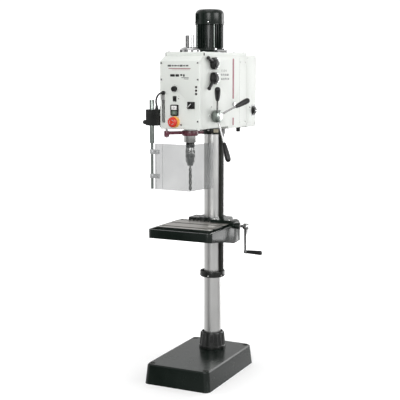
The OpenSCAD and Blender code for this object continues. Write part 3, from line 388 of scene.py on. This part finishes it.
PRINT_RED = surface("print_red", (0.24, 0.02, 0.05), 0.45, mottle=0.06, grain_scale=900)
SILVER_PRINT = surface("silver_print", (0.70, 0.71, 0.71), 0.30, 0.6, mottle=0.05, grain_scale=600)
PLATE_GREY = surface("plate_grey", (0.40, 0.41, 0.41), 0.38, 0.3, mottle=0.06, grain_scale=700)
LENS_DARK = surface("lens_dark", (0.03, 0.012, 0.012), 0.12, mottle=0.10, patch=90, grain_scale=900,
                    bump=0.02, coat=0.6)
BEIGE = surface("beige_pad", (0.55, 0.50, 0.38), 0.45, mottle=0.08, patch=60, grain_scale=700, bump=0.2)


# ---- CAD nodes: finish, smooth shading and broken edges ----

WELD = 5e-6                                # corners this close are one, in metres


def angle_shading():
    """Node group that welds the CAD faces and shades smooth across edges under 30 degrees."""
    group = bpy.data.node_groups.new("angle_shading", "GeometryNodeTree")
    group.interface.new_socket("Geometry", in_out="INPUT", socket_type="NodeSocketGeometry")
    group.interface.new_socket("Geometry", in_out="OUTPUT", socket_type="NodeSocketGeometry")
    start, end = group.nodes.new("NodeGroupInput"), group.nodes.new("NodeGroupOutput")
    weld = group.nodes.new("GeometryNodeMergeByDistance")
    weld.inputs["Distance"].default_value = WELD
    angle = group.nodes.new("GeometryNodeInputMeshEdgeAngle")
    sharp = group.nodes.new("FunctionNodeCompare")
    sharp.inputs["B"].default_value = math.radians(30)
    smooth = group.nodes.new("GeometryNodeSetShadeSmooth")
    smooth.domain = "EDGE"
    smooth.inputs["Shade Smooth"].default_value = False
    group.links.new(start.outputs[0], weld.inputs["Geometry"])
    group.links.new(weld.outputs["Geometry"], smooth.inputs["Geometry"])
    group.links.new(angle.outputs["Unsigned Angle"], sharp.inputs["A"])
    group.links.new(sharp.outputs["Result"], smooth.inputs["Selection"])
    group.links.new(smooth.outputs["Geometry"], end.inputs[0])
    return group


SHADING = angle_shading()

# Width of the broken edges, in millimetres
EDGES = {
    "base_casting": 2.2, "table_casting": 1.2, "head_casting": 1.2, "front_cover": 1.0, "top_cover": 1.6,
    "electrical_box": 2.0, "column_foot": 1.2, "rack_rings": 1.0, "motor_housing": 0.5, "fan_cowl": 0.5,
    "guard_bracket": 1.4, "depth_stop_arm": 1.2, "depth_stop_knob": 1.2, "feed_hub": 1.0, "crank_arm": 1.0,
    "main_switch": 0.9, "speed_knob": 0.6, "control_bezels": 0.6, "start_button": 1.0, "stop_button": 1.0,
    "selector_knob": 0.8, "estop_base": 0.8, "rocker_switch": 0.4, "guard_hinges": 1.0, "guard_panel": 0.5,
    "upper_gear_lever": 1.2, "lower_gear_lever": 1.2, "spring_housing": 1.2, "quill": 0.6,
    "chuck_sleeve": 0.5, "cable_gland": 0.8, "table_clamp_lever": 0.6, "depth_rod": 0.4, "guard_rod": 0.8,
}


def shade(obj):
    shading = obj.modifiers.new("shading", "NODES")
    shading.node_group = SHADING


def break_edges(obj, width):
    bevel = obj.modifiers.new("edges", "BEVEL")
    bevel.width = width
    bevel.segments = 2
    bevel.limit_method = "ANGLE"
    bevel.angle_limit = math.radians(35)
    bevel.use_clamp_overlap = True


def finish_node(node, obj, finish):
    mesh = obj.data
    for name in ("custom_normal", "sharp_edge"):
        if name in mesh.attributes:
            mesh.attributes.remove(mesh.attributes[name])
    mesh.polygons.foreach_set("use_smooth", [True] * len(mesh.polygons))
    mesh.materials.clear()
    mesh.materials.append(finish)
    if node in EDGES:
        weld = obj.modifiers.new("weld", "WELD")
        weld.merge_threshold = WELD
        break_edges(obj, EDGES[node] * MM)
    shade(obj)


def paint_faces(node, finish, wanted):
    """Gives a second finish to the faces of a CAD node whose middle and normal `wanted` accepts."""
    mesh = NODES[node].data
    mesh.materials.append(finish)
    for face in mesh.polygons:
        if wanted(face.center, face.normal):
            face.material_index = 1


def dress_cad():
    slots = {s["node"]: s["material_slot"] for s in frame["record"]["subparts"]}
    for node, obj in NODES.items():
        finish_node(node, obj, MATERIALS[slots[node]])
    near = 9 * MM
    paint_faces("table_casting", WORK_TOP, lambda c, n: n.z > 0.9 and abs(c.z - WORK_Z) < 1 * MM)
    paint_faces("chuck_body", MATERIALS["black_metal"], lambda c, n: c.z > QUILL_LOW.z - 28 * MM)
    paint_faces("guard_rod", MATERIALS["hub_steel"], lambda c, n: True)
    paint_faces("base_casting", CAST_BARE, lambda c, n: abs(n.z) < 0.5 and
                abs(abs(c.x) - ANCHOR_X) < near and abs(abs(c.y) - ANCHOR_Y) < near)
    paint_faces("rack", RACK_DARK, lambda c, n: True)
    paint_faces("guard_hinges", PLATE_GREY, lambda c, n: True)
    paint_faces("motor_housing", CAST_BARE, lambda c, n: n.z > 0.9 and c.z < MOTOR_LOW.z + 20 * MM)


# ---- Pieces ----


def link(name, mesh, body, finish, bevel=0.0, smooth=True):
    """Adds a piece that rides on `body`, in the given finish."""
    obj = bpy.data.objects.new(name, mesh)
    bpy.context.scene.collection.objects.link(obj)
    mesh.materials.append(finish)
    if smooth:
        mesh.polygons.foreach_set("use_smooth", [True] * len(mesh.polygons))
    if bevel:
        break_edges(obj, bevel)
    shade(obj)
    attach(obj, body)
    return obj


def joined(name, parts):
    """One mesh from several (vertices, faces) lists."""
    verts, faces = [], []
    for part_verts, part_faces in parts:
        base = len(verts)
        verts += [tuple(v) for v in part_verts]
        faces += [[base + i for i in f] for f in part_faces]
    mesh = bpy.data.meshes.new(name)
    mesh.from_pydata(verts, [], faces)
    mesh.validate()
    return mesh


def add_piece(name, parts, body, slot, bevel=0.0):
    """A piece in the finish of the material slot named `slot`."""
    return link(name, joined(name, parts), body, MATERIALS[slot], bevel)


def add_print(name, parts, body, finish):
    """A printed mark, which fills no slot."""
    return link(name, joined(name, parts), body, finish)


def plate(outline, thick, place):
    """Closed plate with the given outline, its back on the place's plane."""
    n = len(outline)
    verts = [place @ Vector((x, y, z)) for z in (0, thick) for x, y in outline]
    sides = [(i, (i + 1) % n, n + (i + 1) % n, n + i) for i in range(n)]
    return verts, [list(range(n - 1, -1, -1)), list(range(n, 2 * n))] + sides


def lathe(profile, place, around=32):
    """Turned part: `profile` is (radius, height), closed on itself or from the axis back to the axis."""
    verts, rings = [], []
    for r, z in profile:
        if r == 0:
            rings.append([len(verts)] * around)
            verts.append(place @ Vector((0, 0, z)))
        else:
            rings.append(list(range(len(verts), len(verts) + around)))
            verts += [place @ Vector(p) for p in disc_points(r, around, z)]
    faces = []
    for low, high in zip(rings, rings[1:]):
        for k in range(around):
            j = (k + 1) % around
            face = [low[k], low[j], high[j], high[k]]
            faces.append([v for i, v in enumerate(face) if v not in face[:i]])
    return verts, faces


def rounded(w, h, r, steps=5):
    """Outline of a rectangle with round corners, about its middle."""
    out = []
    x, y = w / 2 - r, h / 2 - r
    for cx, cy, start in ((x, y, 0), (-x, y, 90), (-x, -y, 180), (x, -y, 270)):
        for i in range(steps + 1):
            a = math.radians(start + 90 * i / steps)
            out.append((cx + r * math.cos(a), cy + r * math.sin(a)))
    return out


def ring_sector(r0, r1, a0, a1, steps=16):
    """Outline of a part of a flat ring, its angles in degrees."""
    angles = [math.radians(a0 + (a1 - a0) * i / steps) for i in range(steps + 1)]
    return [(r1 * math.cos(a), r1 * math.sin(a)) for a in angles] + \
        [(r0 * math.cos(a), r0 * math.sin(a)) for a in reversed(angles)]


def ellipse(rx, ry):
    return [(rx * math.cos(math.radians(a)), ry * math.sin(math.radians(a))) for a in range(0, 360, 12)]


def frame_place(x_axis, y_axis, origin):
    z_axis = Vector(x_axis).cross(Vector(y_axis))
    m = Matrix((x_axis, y_axis, z_axis)).transposed().to_4x4()
    m.translation = origin
    return m


def on_round(centre, degrees, r):
    """Place on an upright cylinder round `centre`, with its z axis outwards."""
    a = math.radians(degrees)
    out, side = Vector((math.cos(a), math.sin(a), 0)), Vector((-math.sin(a), math.cos(a), 0))
    return frame_place(side, (0, 0, 1), centre + out * r)


def on_front(x, z, out=0.0):
    """Place on the front panel, in millimetres from the machine's middle line and the head's underside."""
    return frame_place((1, 0, 0), (0, 0, 1), Vector((x * MM, FRONT_Y - out * MM, HEAD_Z + z * MM)))


def on_side(y, z, out=0.0):
    """Place on the head's right side, in millimetres from the column's axis and the head's underside."""
    origin = Vector((SIDE_X + out * MM, COLUMN.y + y * MM, HEAD_Z + z * MM))
    return frame_place((0, 1, 0), (0, 0, 1), origin)


def upright(x, y, z):
    return Matrix.Translation(Vector((x, y, z)))


def screw(place, r):
    """Pan-head screw with a hexagon socket, standing on the place's plane."""
    shape = ((0, 0), (1, 0), (1, 0.35), (0.9, 0.55), (0.72, 0.7), (0.45, 0.72), (0.42, 0.3), (0, 0.3))
    return lathe([(across * r, high * r) for across, high in shape], place, 24)


def scale_points(points):
    """Millimetres to metres, for outlines and turned profiles."""
    return [(x * MM, y * MM) for x, y in points]


def bars(name, rects, place_of, thick, body, finish):
    """Thin printed bars: each is (x, y, width, height) in millimetres."""
    parts = [plate(scale_points(rounded(w, h, min(w, h) * 0.3)), thick * MM, place_of(x, y))
             for x, y, w, h in rects]
    return link(name, joined(name, parts), body, finish)


# ---- Trim on the head ----


def front_marks():
    """Plain bars where the machine carries its lettering."""
    widths = [22, 14, 17, 12, 20, 13, 18]
    x, slabs = -66, []
    for i, w in enumerate(widths):
        slabs.append((x + w / 2, 309, w - 3, 9 if i in (0, 4) else 7))
        x += w
    bars("front_mark_upper", slabs, on_front, PRINT, "frame", PRINT_GREY)
    bars("front_mark_line", [(0, 295, 120, 3.2), (8, 289, 96, 1.2)], on_front, PRINT, "frame", PRINT_RED)
    bars("front_mark_lower", [(-38, 262, 26, 12), (-12, 262, 20, 12), (10, 264, 12, 8), (24, 262, 8, 12)],
         on_front, PRINT, "frame", MATERIALS["black_plastic"])
    bars("front_mark_small", [(30, 251, 40, 3), (36, 245, 26, 2.4)], on_front, PRINT, "frame", PRINT_GREY)


def panel_lamps():
    """Three small dark lenses in black rims."""
    places = [on_front(90, z) for z in (206, 189.5, 173)]
    dome = [(4.2 * math.cos(math.radians(a)), 3.2 * math.sin(math.radians(a))) for a in range(0, 90, 15)]
    lens = scale_points([(0, 0)] + dome + [(0, 3.2)])
    rim = scale_points([(4.3, 0), (5.8, 0), (5.8, 1.2), (4.6, 1.6), (4.3, 0)])
    lenses = joined("panel_lamps", [lathe(lens, place) for place in places])
    link("panel_lamps", lenses, "frame", LENS_DARK)
    add_piece("panel_lamp_rims", [lathe(rim, place) for place in places], "frame", "black_plastic")


def knob_scale():
    """Nine marks round the speed knob, longer at both ends and in the middle."""
    parts = []
    for i in range(9):
        turn = Matrix.Rotation(math.radians(-45 + 270 * i / 8), 4, "Z")
        place = on_front(*SPEED_KNOB) @ turn @ Matrix.Translation((19 * MM, 0, 0))
        parts.append(plate(scale_points(rounded(5 if i % 4 == 0 else 3, 1.1, 0.3)), PRINT * MM, place))
    add_print("knob_scale", parts, "frame", PRINT_GREY)


def slot_rim():
    """Black lining of the long slot in the front panel, open at both ends."""
    outer, inner = rounded(14.6, 140.6, 7.2), rounded(11, 137, 5.4)
    place = on_front(-88, 100)
    n = len(outer)
    verts = [place @ Vector((x * MM, y * MM, z * MM))
             for z in (-3.5, 1.2) for pts in (outer, inner) for x, y in pts]
    faces = []
    for i in range(n):
        j = (i + 1) % n
        faces += [(2 * n + i, 2 * n + j, 3 * n + j, 3 * n + i), (i, j, 2 * n + j, 2 * n + i),
                  (n + j, n + i, 3 * n + i, 3 * n + j), (j, i, n + i, n + j)]
    add_piece("slot_rim", [(verts, faces)], "frame", "black_plastic", 0.3 * MM)


def key_marks():
    """Marks on the keys, the selector, the emergency stop and beside the rocker."""
    bars("start_key_mark", [(*START_KEY[:2], 3, 11)], lambda x, z: on_front(*START_KEY), 0.2, "start",
         SILVER_PRINT)
    ring = plate(scale_points(ring_sector(3.6, 5.0, 0, FULL_TURN, 40)), 0.2 * MM, on_front(*STOP_KEY))
    add_print("stop_key_mark", [ring], "stop", PRINT_GREY)
    turn = on_front(*SELECTOR) @ Matrix.Rotation(math.radians(-45), 4, "Z")
    add_piece("selector_mark", [plate(scale_points(rounded(2.4, 24, 0.7)), 0.3 * MM, turn)], "selector",
              "white_plastic")
    arrows = [plate(scale_points(ring_sector(10, 12.5, a, a + 80, 14)), 0.5 * MM, on_front(*STOP_CAP))
              for a in (20, 140, 260)]
    add_print("stop_arrows", arrows, "emergency_stop", SILVER_PRINT)
    bars("rocker_dot", [(-5, 149.5, 5, 5), (-4, 162, 8, 1.2)], on_front, PRINT, "frame", PRINT_GREY)


def mesh_of(name, curve):
    """The mesh of a curve or a text."""
    holder = bpy.data.objects.new(name, curve)
    bpy.context.scene.collection.objects.link(holder)
    bpy.context.view_layer.update()
    mesh = bpy.data.meshes.new_from_object(holder)
    bpy.data.objects.remove(holder)
    return mesh


def number_row(name, text, y, z, size):
    """A row of small figures on the head's side, as on a speed table."""
    curve = bpy.data.curves.new(name, "FONT")
    curve.body = text
    curve.size = size * MM
    curve.extrude = 0.12 * MM
    curve.offset = 0.35 * MM
    curve.resolution_u = 2
    mesh = mesh_of(name, curve)
    mesh.transform(on_side(y, z, 0.13))
    mesh.materials.clear()
    link(name, mesh, "frame", PRINT_GREY, smooth=False)


def side_marks():
    """Speed table, stripe, oval and seam on the head's side."""
    number_row("speeds_a", "1  2  3  4", -128, 278, 17)
    number_row("speeds_b", "90 170 340 680", -132, 258, 15)
    number_row("speeds_c", "180 350 700 1360", -133, 238, 14)
    bars("side_stripe", [(22, 242, 20, 208), (22, 21, 17, 40)], on_side, PRINT, "frame", PRINT_RED)
    place = on_side(25, 111)
    add_print("side_oval", [plate(scale_points(ellipse(15, 7)), 0.3 * MM, place)], "frame", PRINT_GREY)
    add_print("side_oval_field", [plate(scale_points(ellipse(11.5, 4)), 0.4 * MM, place)], "frame",
              SILVER_PRINT)
    bars("side_seam", [(104, 181, 1.2, 336)], on_side, 0.12, "frame", PRINT_GREY)


def side_screws():
    places = [(-244, 107), (-267, 63), (113, 329), (106, 12), (180, 329), (180, 12)]
    parts = [screw(on_side(y, z), 4 * MM) for y, z in places]
    parts += [screw(on_side(y, z), 3.4 * MM) for y in (204, 316) for z in (0, 350)]
    add_piece("side_screws", parts, "frame", "machined_steel")


def lid_details():
    clips = []
    for sx in (-1, 1):
        place = upright(sx * (SIDE_X - 5 * MM), LID_LOW.y + 4 * MM, LID_LOW.z + 1 * MM)
        clips.append(plate(scale_points(rounded(9.6, 7.6, 1.6)), 16.5 * MM, place))
    add_piece("lid_corner_clips", clips, "frame", "black_plastic", 0.8 * MM)


def lever_dials():
    """Painted highlight: bright silver arcs on each gear lever's disc and hub, where they catch a lamp's
    reflection, and a cap on the hub.
    """
    disc, hub = 23.9, 31.0
    profile = scale_points([(0, 0), (15, 0), (15, 1.4), (13.6, 2.6), (6, 3.0), (5.2, 1.6), (0, 1.6)])
    for name, z, body in (("upper", 320, "gear_lever_a"), ("lower", 247, "gear_lever_b")):
        # the silver arcs are painted highlight, laid where the discs and hubs reflect the side lamps
        arcs = [plate(scale_points(ring_sector(r0, r1, -75, 75, 30)), 0.5 * MM, on_side(LEVER_Y, z, face))
                for r0, r1, face in ((22.3, 29.3, disc), (15.6, 21.3, hub))]
        add_print(f"{name}_lever_painted_highlight", arcs, body, SILVER_PRINT)
        add_piece(f"{name}_lever_cap", [lathe(profile, on_side(LEVER_Y, z, hub))], body, "black_plastic")


def main_switch_trim():
    back = plate(scale_points(rounded(62, 62, 3)), PRINT * MM, on_side(*SWITCH))
    add_print("switch_plate", [back], "frame", PLATE_GREY)
    lamp = scale_points([(0, 0), (3.6, 0), (3.6, 1.2), (2.4, 2.4), (0, 2.8)])
    add_piece("switch_lamp", [lathe(lamp, on_side(242, 86))], "frame", "black_plastic")
    bar = plate(scale_points(rounded(42, 4.2, 1.4)), 0.5 * MM, on_side(*SWITCH, 21.9))
    add_piece("switch_bar", [bar], "power_switch", "bright_steel")


def hub_trim():
    """Cap and set screws on the quill feed hub."""
    low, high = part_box("feed_hub")
    place = frame_place((0, 1, 0), (0, 0, 1), Vector((high.x, (low.y + high.y) / 2, (low.z + high.z) / 2)))
    cap = scale_points([(0, 0), (17, 0), (17, 1.2), (15.5, 2.6), (8, 3.0), (7.4, 1.2), (0, 1.2)])
    add_piece("hub_cap", [lathe(cap, place)], "feed_handle", "machined_steel")
    out = Matrix.Translation((20.5 * MM, 0, 0))
    dots = [screw(place @ Matrix.Rotation(math.radians(60 * i), 4, "Z") @ out, 2.2 * MM) for i in range(6)]
    add_piece("hub_screws", dots, "feed_handle", "black_metal")


# ---- Trim on the motor ----


def motor_rods():
    """Long bolts that hold the fan cowl's end shield to the flange."""
    r0 = (COWL_HIGH.x - MOTOR.x) - 5.2 * MM
    foot = MOTOR_LOW.z + 26 * MM
    top = COWL_LOW.z - foot
    profile = scale_points([(0, 0), (4.6, 0), (4.6, 4), (2.6, 4.5)]) + [(2.6 * MM, top), (0, top)]
    parts = []
    for i in range(4):
        a = math.radians(45 + 90 * i)
        place = upright(MOTOR.x + r0 * math.cos(a), MOTOR.y + r0 * math.sin(a), foot)
        parts.append(lathe(profile, place, 20))
    add_piece("motor_rods", parts, "frame", "hub_steel")


def terminal_box():
    """Lid, screws and blank plate of the motor's terminal box."""
    place = frame_place((-1, 0, 0), (0, 0, 1), Vector((MOTOR.x, MOTOR.y + 80 * MM, MOTOR_LOW.z + 58 * MM)))
    lid = plate(scale_points(rounded(58, 58, 5)), 5 * MM, place)
    add_piece("terminal_lid", [lid], "frame", "cast_paint", 1.2 * MM)
    screws = [screw(place @ Matrix.Translation((sx * 23 * MM, sy * 23 * MM, 5 * MM)), 3 * MM)
              for sx in (-1, 1) for sy in (-1, 1)]
    add_piece("terminal_screws", screws, "frame", "bright_steel")
    blank = plate(scale_points(rounded(30, 18, 1.5)), 0.5 * MM, place @ Matrix.Translation((0, 0, 5 * MM)))
    add_print("terminal_plate", [blank], "frame", SILVER_PRINT)


def cowl_trim():
    """Rolled edge and screws of the fan cowl."""
    r = COWL_HIGH.x - MOTOR.x
    section = ((-0.4, 0), (0.9, 0.6), (1.1, 2.2), (0.6, 3.8), (-0.4, 4.6), (-0.4, 0))
    edge = lathe([(r + grow * MM, z * MM) for grow, z in section],
                 upright(MOTOR.x, MOTOR.y, COWL_LOW.z), 72)
    add_piece("cowl_edge", [edge], "frame", "cast_paint")
    centre = Vector((MOTOR.x, MOTOR.y, COWL_LOW.z + 12 * MM))
    screws = [screw(on_round(centre, 20 + 90 * i, r), 3.4 * MM) for i in range(4)]
    add_piece("cowl_screws", screws, "frame", "bright_steel")


# ---- Trim below the head ----


def arm_screw():
    """Clamp screw at the free end of the depth stop's arm."""
    low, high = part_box("depth_stop_knob")
    knob = (low + high) / 2
    away = Vector((QUILL.x - knob.x, QUILL.y - knob.y, 0)).normalized()
    at = Vector((QUILL.x, QUILL.y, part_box("depth_stop_arm")[1].z - 2 * MM)) + away * 57 * MM
    add_piece("arm_screw", [screw(Matrix.Translation(at), 6 * MM)], "quill_sleeve", "bright_steel")


def ring_details():
    """Clamp screws of the rack's rings and a pale pad on the upper one."""
    low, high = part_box("rack_rings")
    parts = []
    for z in (low.z + 9 * MM, high.z - 9 * MM):
        for degrees in (-150, -85, -20):
            parts.append(screw(on_round(Vector((COLUMN.x, COLUMN.y, z)), degrees, 65.6 * MM), 4.4 * MM))
    add_piece("ring_screws", parts, "frame", "machined_steel")
    pad = plate(scale_points(ring_sector(66.2, 68.4, -61, -39)), 17 * MM,
                upright(COLUMN.x, COLUMN.y, high.z - 20 * MM))
    link("ring_pad", joined("ring_pad", [pad]), "frame", BEIGE, bevel=0.5 * MM)


def chuck_details():
    """Dark discs on the chuck's body as painted shade of its key holes, and a knurled band on its sleeve.
    """
    low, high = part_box("chuck_sleeve")
    centre = Vector((QUILL.x, QUILL.y, high.z + 12 * MM))
    # thin dark discs with a low rim: painted shade of the key holes
    hole = scale_points([(0, 0), (4.4, 0), (4.4, 0.6), (3.4, 0.6), (3.2, 0.1), (0, 0.1)])
    holes = [lathe(hole, on_round(centre, 30 + 120 * i, 21.7 * MM), 20) for i in range(3)]
    add_piece("chuck_key_hole_shade", holes, "spindle_body", "black_metal")
    centre = Vector((QUILL.x, QUILL.y, (low.z + high.z) / 2 + 6 * MM))
    r, n = (high.x - low.x) / 2 - 0.2 * MM, 60
    rib = scale_points([(-0.7, -17), (0.7, -17), (0.7, 17), (-0.7, 17)])
    ribs = [plate(rib, 0.6 * MM, on_round(centre, 360 * i / n, r)) for i in range(n)]
    add_piece("chuck_knurl", ribs, "chuck_collar", "machined_steel")


# ---- Guard ----


def guard_trim():
    """Rivets of the guard's hinges."""
    low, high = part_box("guard_hinges")
    rivet = scale_points([(0, 0), (2.6, 0), (2.3, 0.8), (1.5, 1.3), (0, 1.5)])
    rivets = []
    for z in (low.z + 11 * MM, high.z - 11 * MM):
        for x in (-128, -114):
            rivets.append(lathe(rivet, frame_place((1, 0, 0), (0, 0, 1), Vector((x * MM, low.y, z))), 16))
    add_piece("guard_rivets", rivets, "guard", "bright_steel")


def guard_lead():
    """Lead of the guard's switch, along the route of its CAD tube, and the boot it leaves from."""
    route = [(-130, -374, 1389.5), (-130, -374, 1402), (-129, -379, 1415), (-126, -388, 1427),
             (-121, -395, 1439), (-114, -401, 1450), (-106, -405, 1459), (-98, -407, 1466),
             (-91, -405, 1470), (-87, -400, 1471), (-87, -394, 1471)]
    curve = bpy.data.curves.new("guard_lead", "CURVE")
    curve.dimensions = "3D"
    curve.bevel_depth = 4.4 * MM
    curve.bevel_resolution = 5
    curve.resolution_u = 6
    curve.use_fill_caps = True
    spline = curve.splines.new("BEZIER")
    spline.bezier_points.add(len(route) - 1)
    for point, (x, y, z) in zip(spline.bezier_points, route):
        point.co = (x * MM, COLUMN.y + y * MM, z * MM)
        point.handle_left_type = point.handle_right_type = "AUTO"
    mesh = mesh_of("guard_lead_curve", curve)
    mesh.materials.clear()
    lead = link("guard_lead", mesh, "frame", MATERIALS["cable_rubber"])
    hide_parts("guard_cable")
    start = upright(-130 * MM, COLUMN.y - 374 * MM, 1389 * MM)
    boot = scale_points([(4.5, 0), (9, 0), (9, 5), (7.4, 6), (6.6, 16), (5.4, 19), (4.5, 19), (4.5, 0)])
    add_piece("lead_boot", [lathe(boot, start)], "frame", "black_plastic")


def guard_fold_highlights():
    """Grey lines painted along the clear sheet's folds, beside its hinges and at its first bend: painted
    highlight of the bends.
    """
    low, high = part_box("guard_panel")
    line = scale_points(rounded(1.8, (high.z - low.z) / MM - 4, 0.4))
    y, z = COLUMN.y - 387.2 * MM, (low.z + high.z) / 2
    # grey strips on the fold lines are painted highlight, not a mark on the sheet
    parts = [plate(line, 0.3 * MM, frame_place((1, 0, 0), (0, 0, 1), Vector((x * MM, y, z))))
             for x in (-127, -92)]
    add_print("guard_fold_highlights", parts, "guard", PLATE_GREY)


# ---- Table ----


def anchor_faces():
    """Dark spot faces round the anchor bolt holes."""
    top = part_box("base_casting")[1].z
    parts = [plate(scale_points(ring_sector(8.4, 16, 0, FULL_TURN, 36)), 0.3 * MM,
                   upright(sx * ANCHOR_X, sy * ANCHOR_Y, top)) for sx in (-1, 1) for sy in (-1, 1)]
    link("anchor_faces", joined("anchor_faces", parts), "frame", RACK_DARK)


def table_trim():
    """Screws on the table's raised rear part, and flat black plates on its front as painted shade of the
    drain slots.
    """
    screws = [screw(upright(x * MM, COLUMN.y + y * MM, TABLE_TOP), 5 * MM)
              for x, y in ((56, -100), (56, -50), (140, -100), (140, -50))]
    add_piece("housing_screws", screws, "table", "machined_steel")
    # flat black plates painted where the drain slots open: painted shade of the openings
    y, z = COLUMN.y - 97 * MM, WORK_Z + 9 * MM
    slots = [plate(scale_points(rounded(8, 17, 3)), 0.3 * MM,
                   frame_place((1, 0, 0), (0, 0, 1), Vector((x * MM, y, z)))) for x in range(-88, 111, 22)]
    add_piece("drain_slot_shade", slots, "table", "black_metal")


add_camera()
add_studio()
dress_cad()
anchor_faces()
front_marks()
panel_lamps()
knob_scale()
slot_rim()
key_marks()
side_marks()
side_screws()
lid_details()
lever_dials()
main_switch_trim()
hub_trim()
motor_rods()
terminal_box()
cowl_trim()
arm_screw()
ring_details()
chuck_details()
guard_trim()
guard_fold_highlights()
guard_lead()
table_trim()
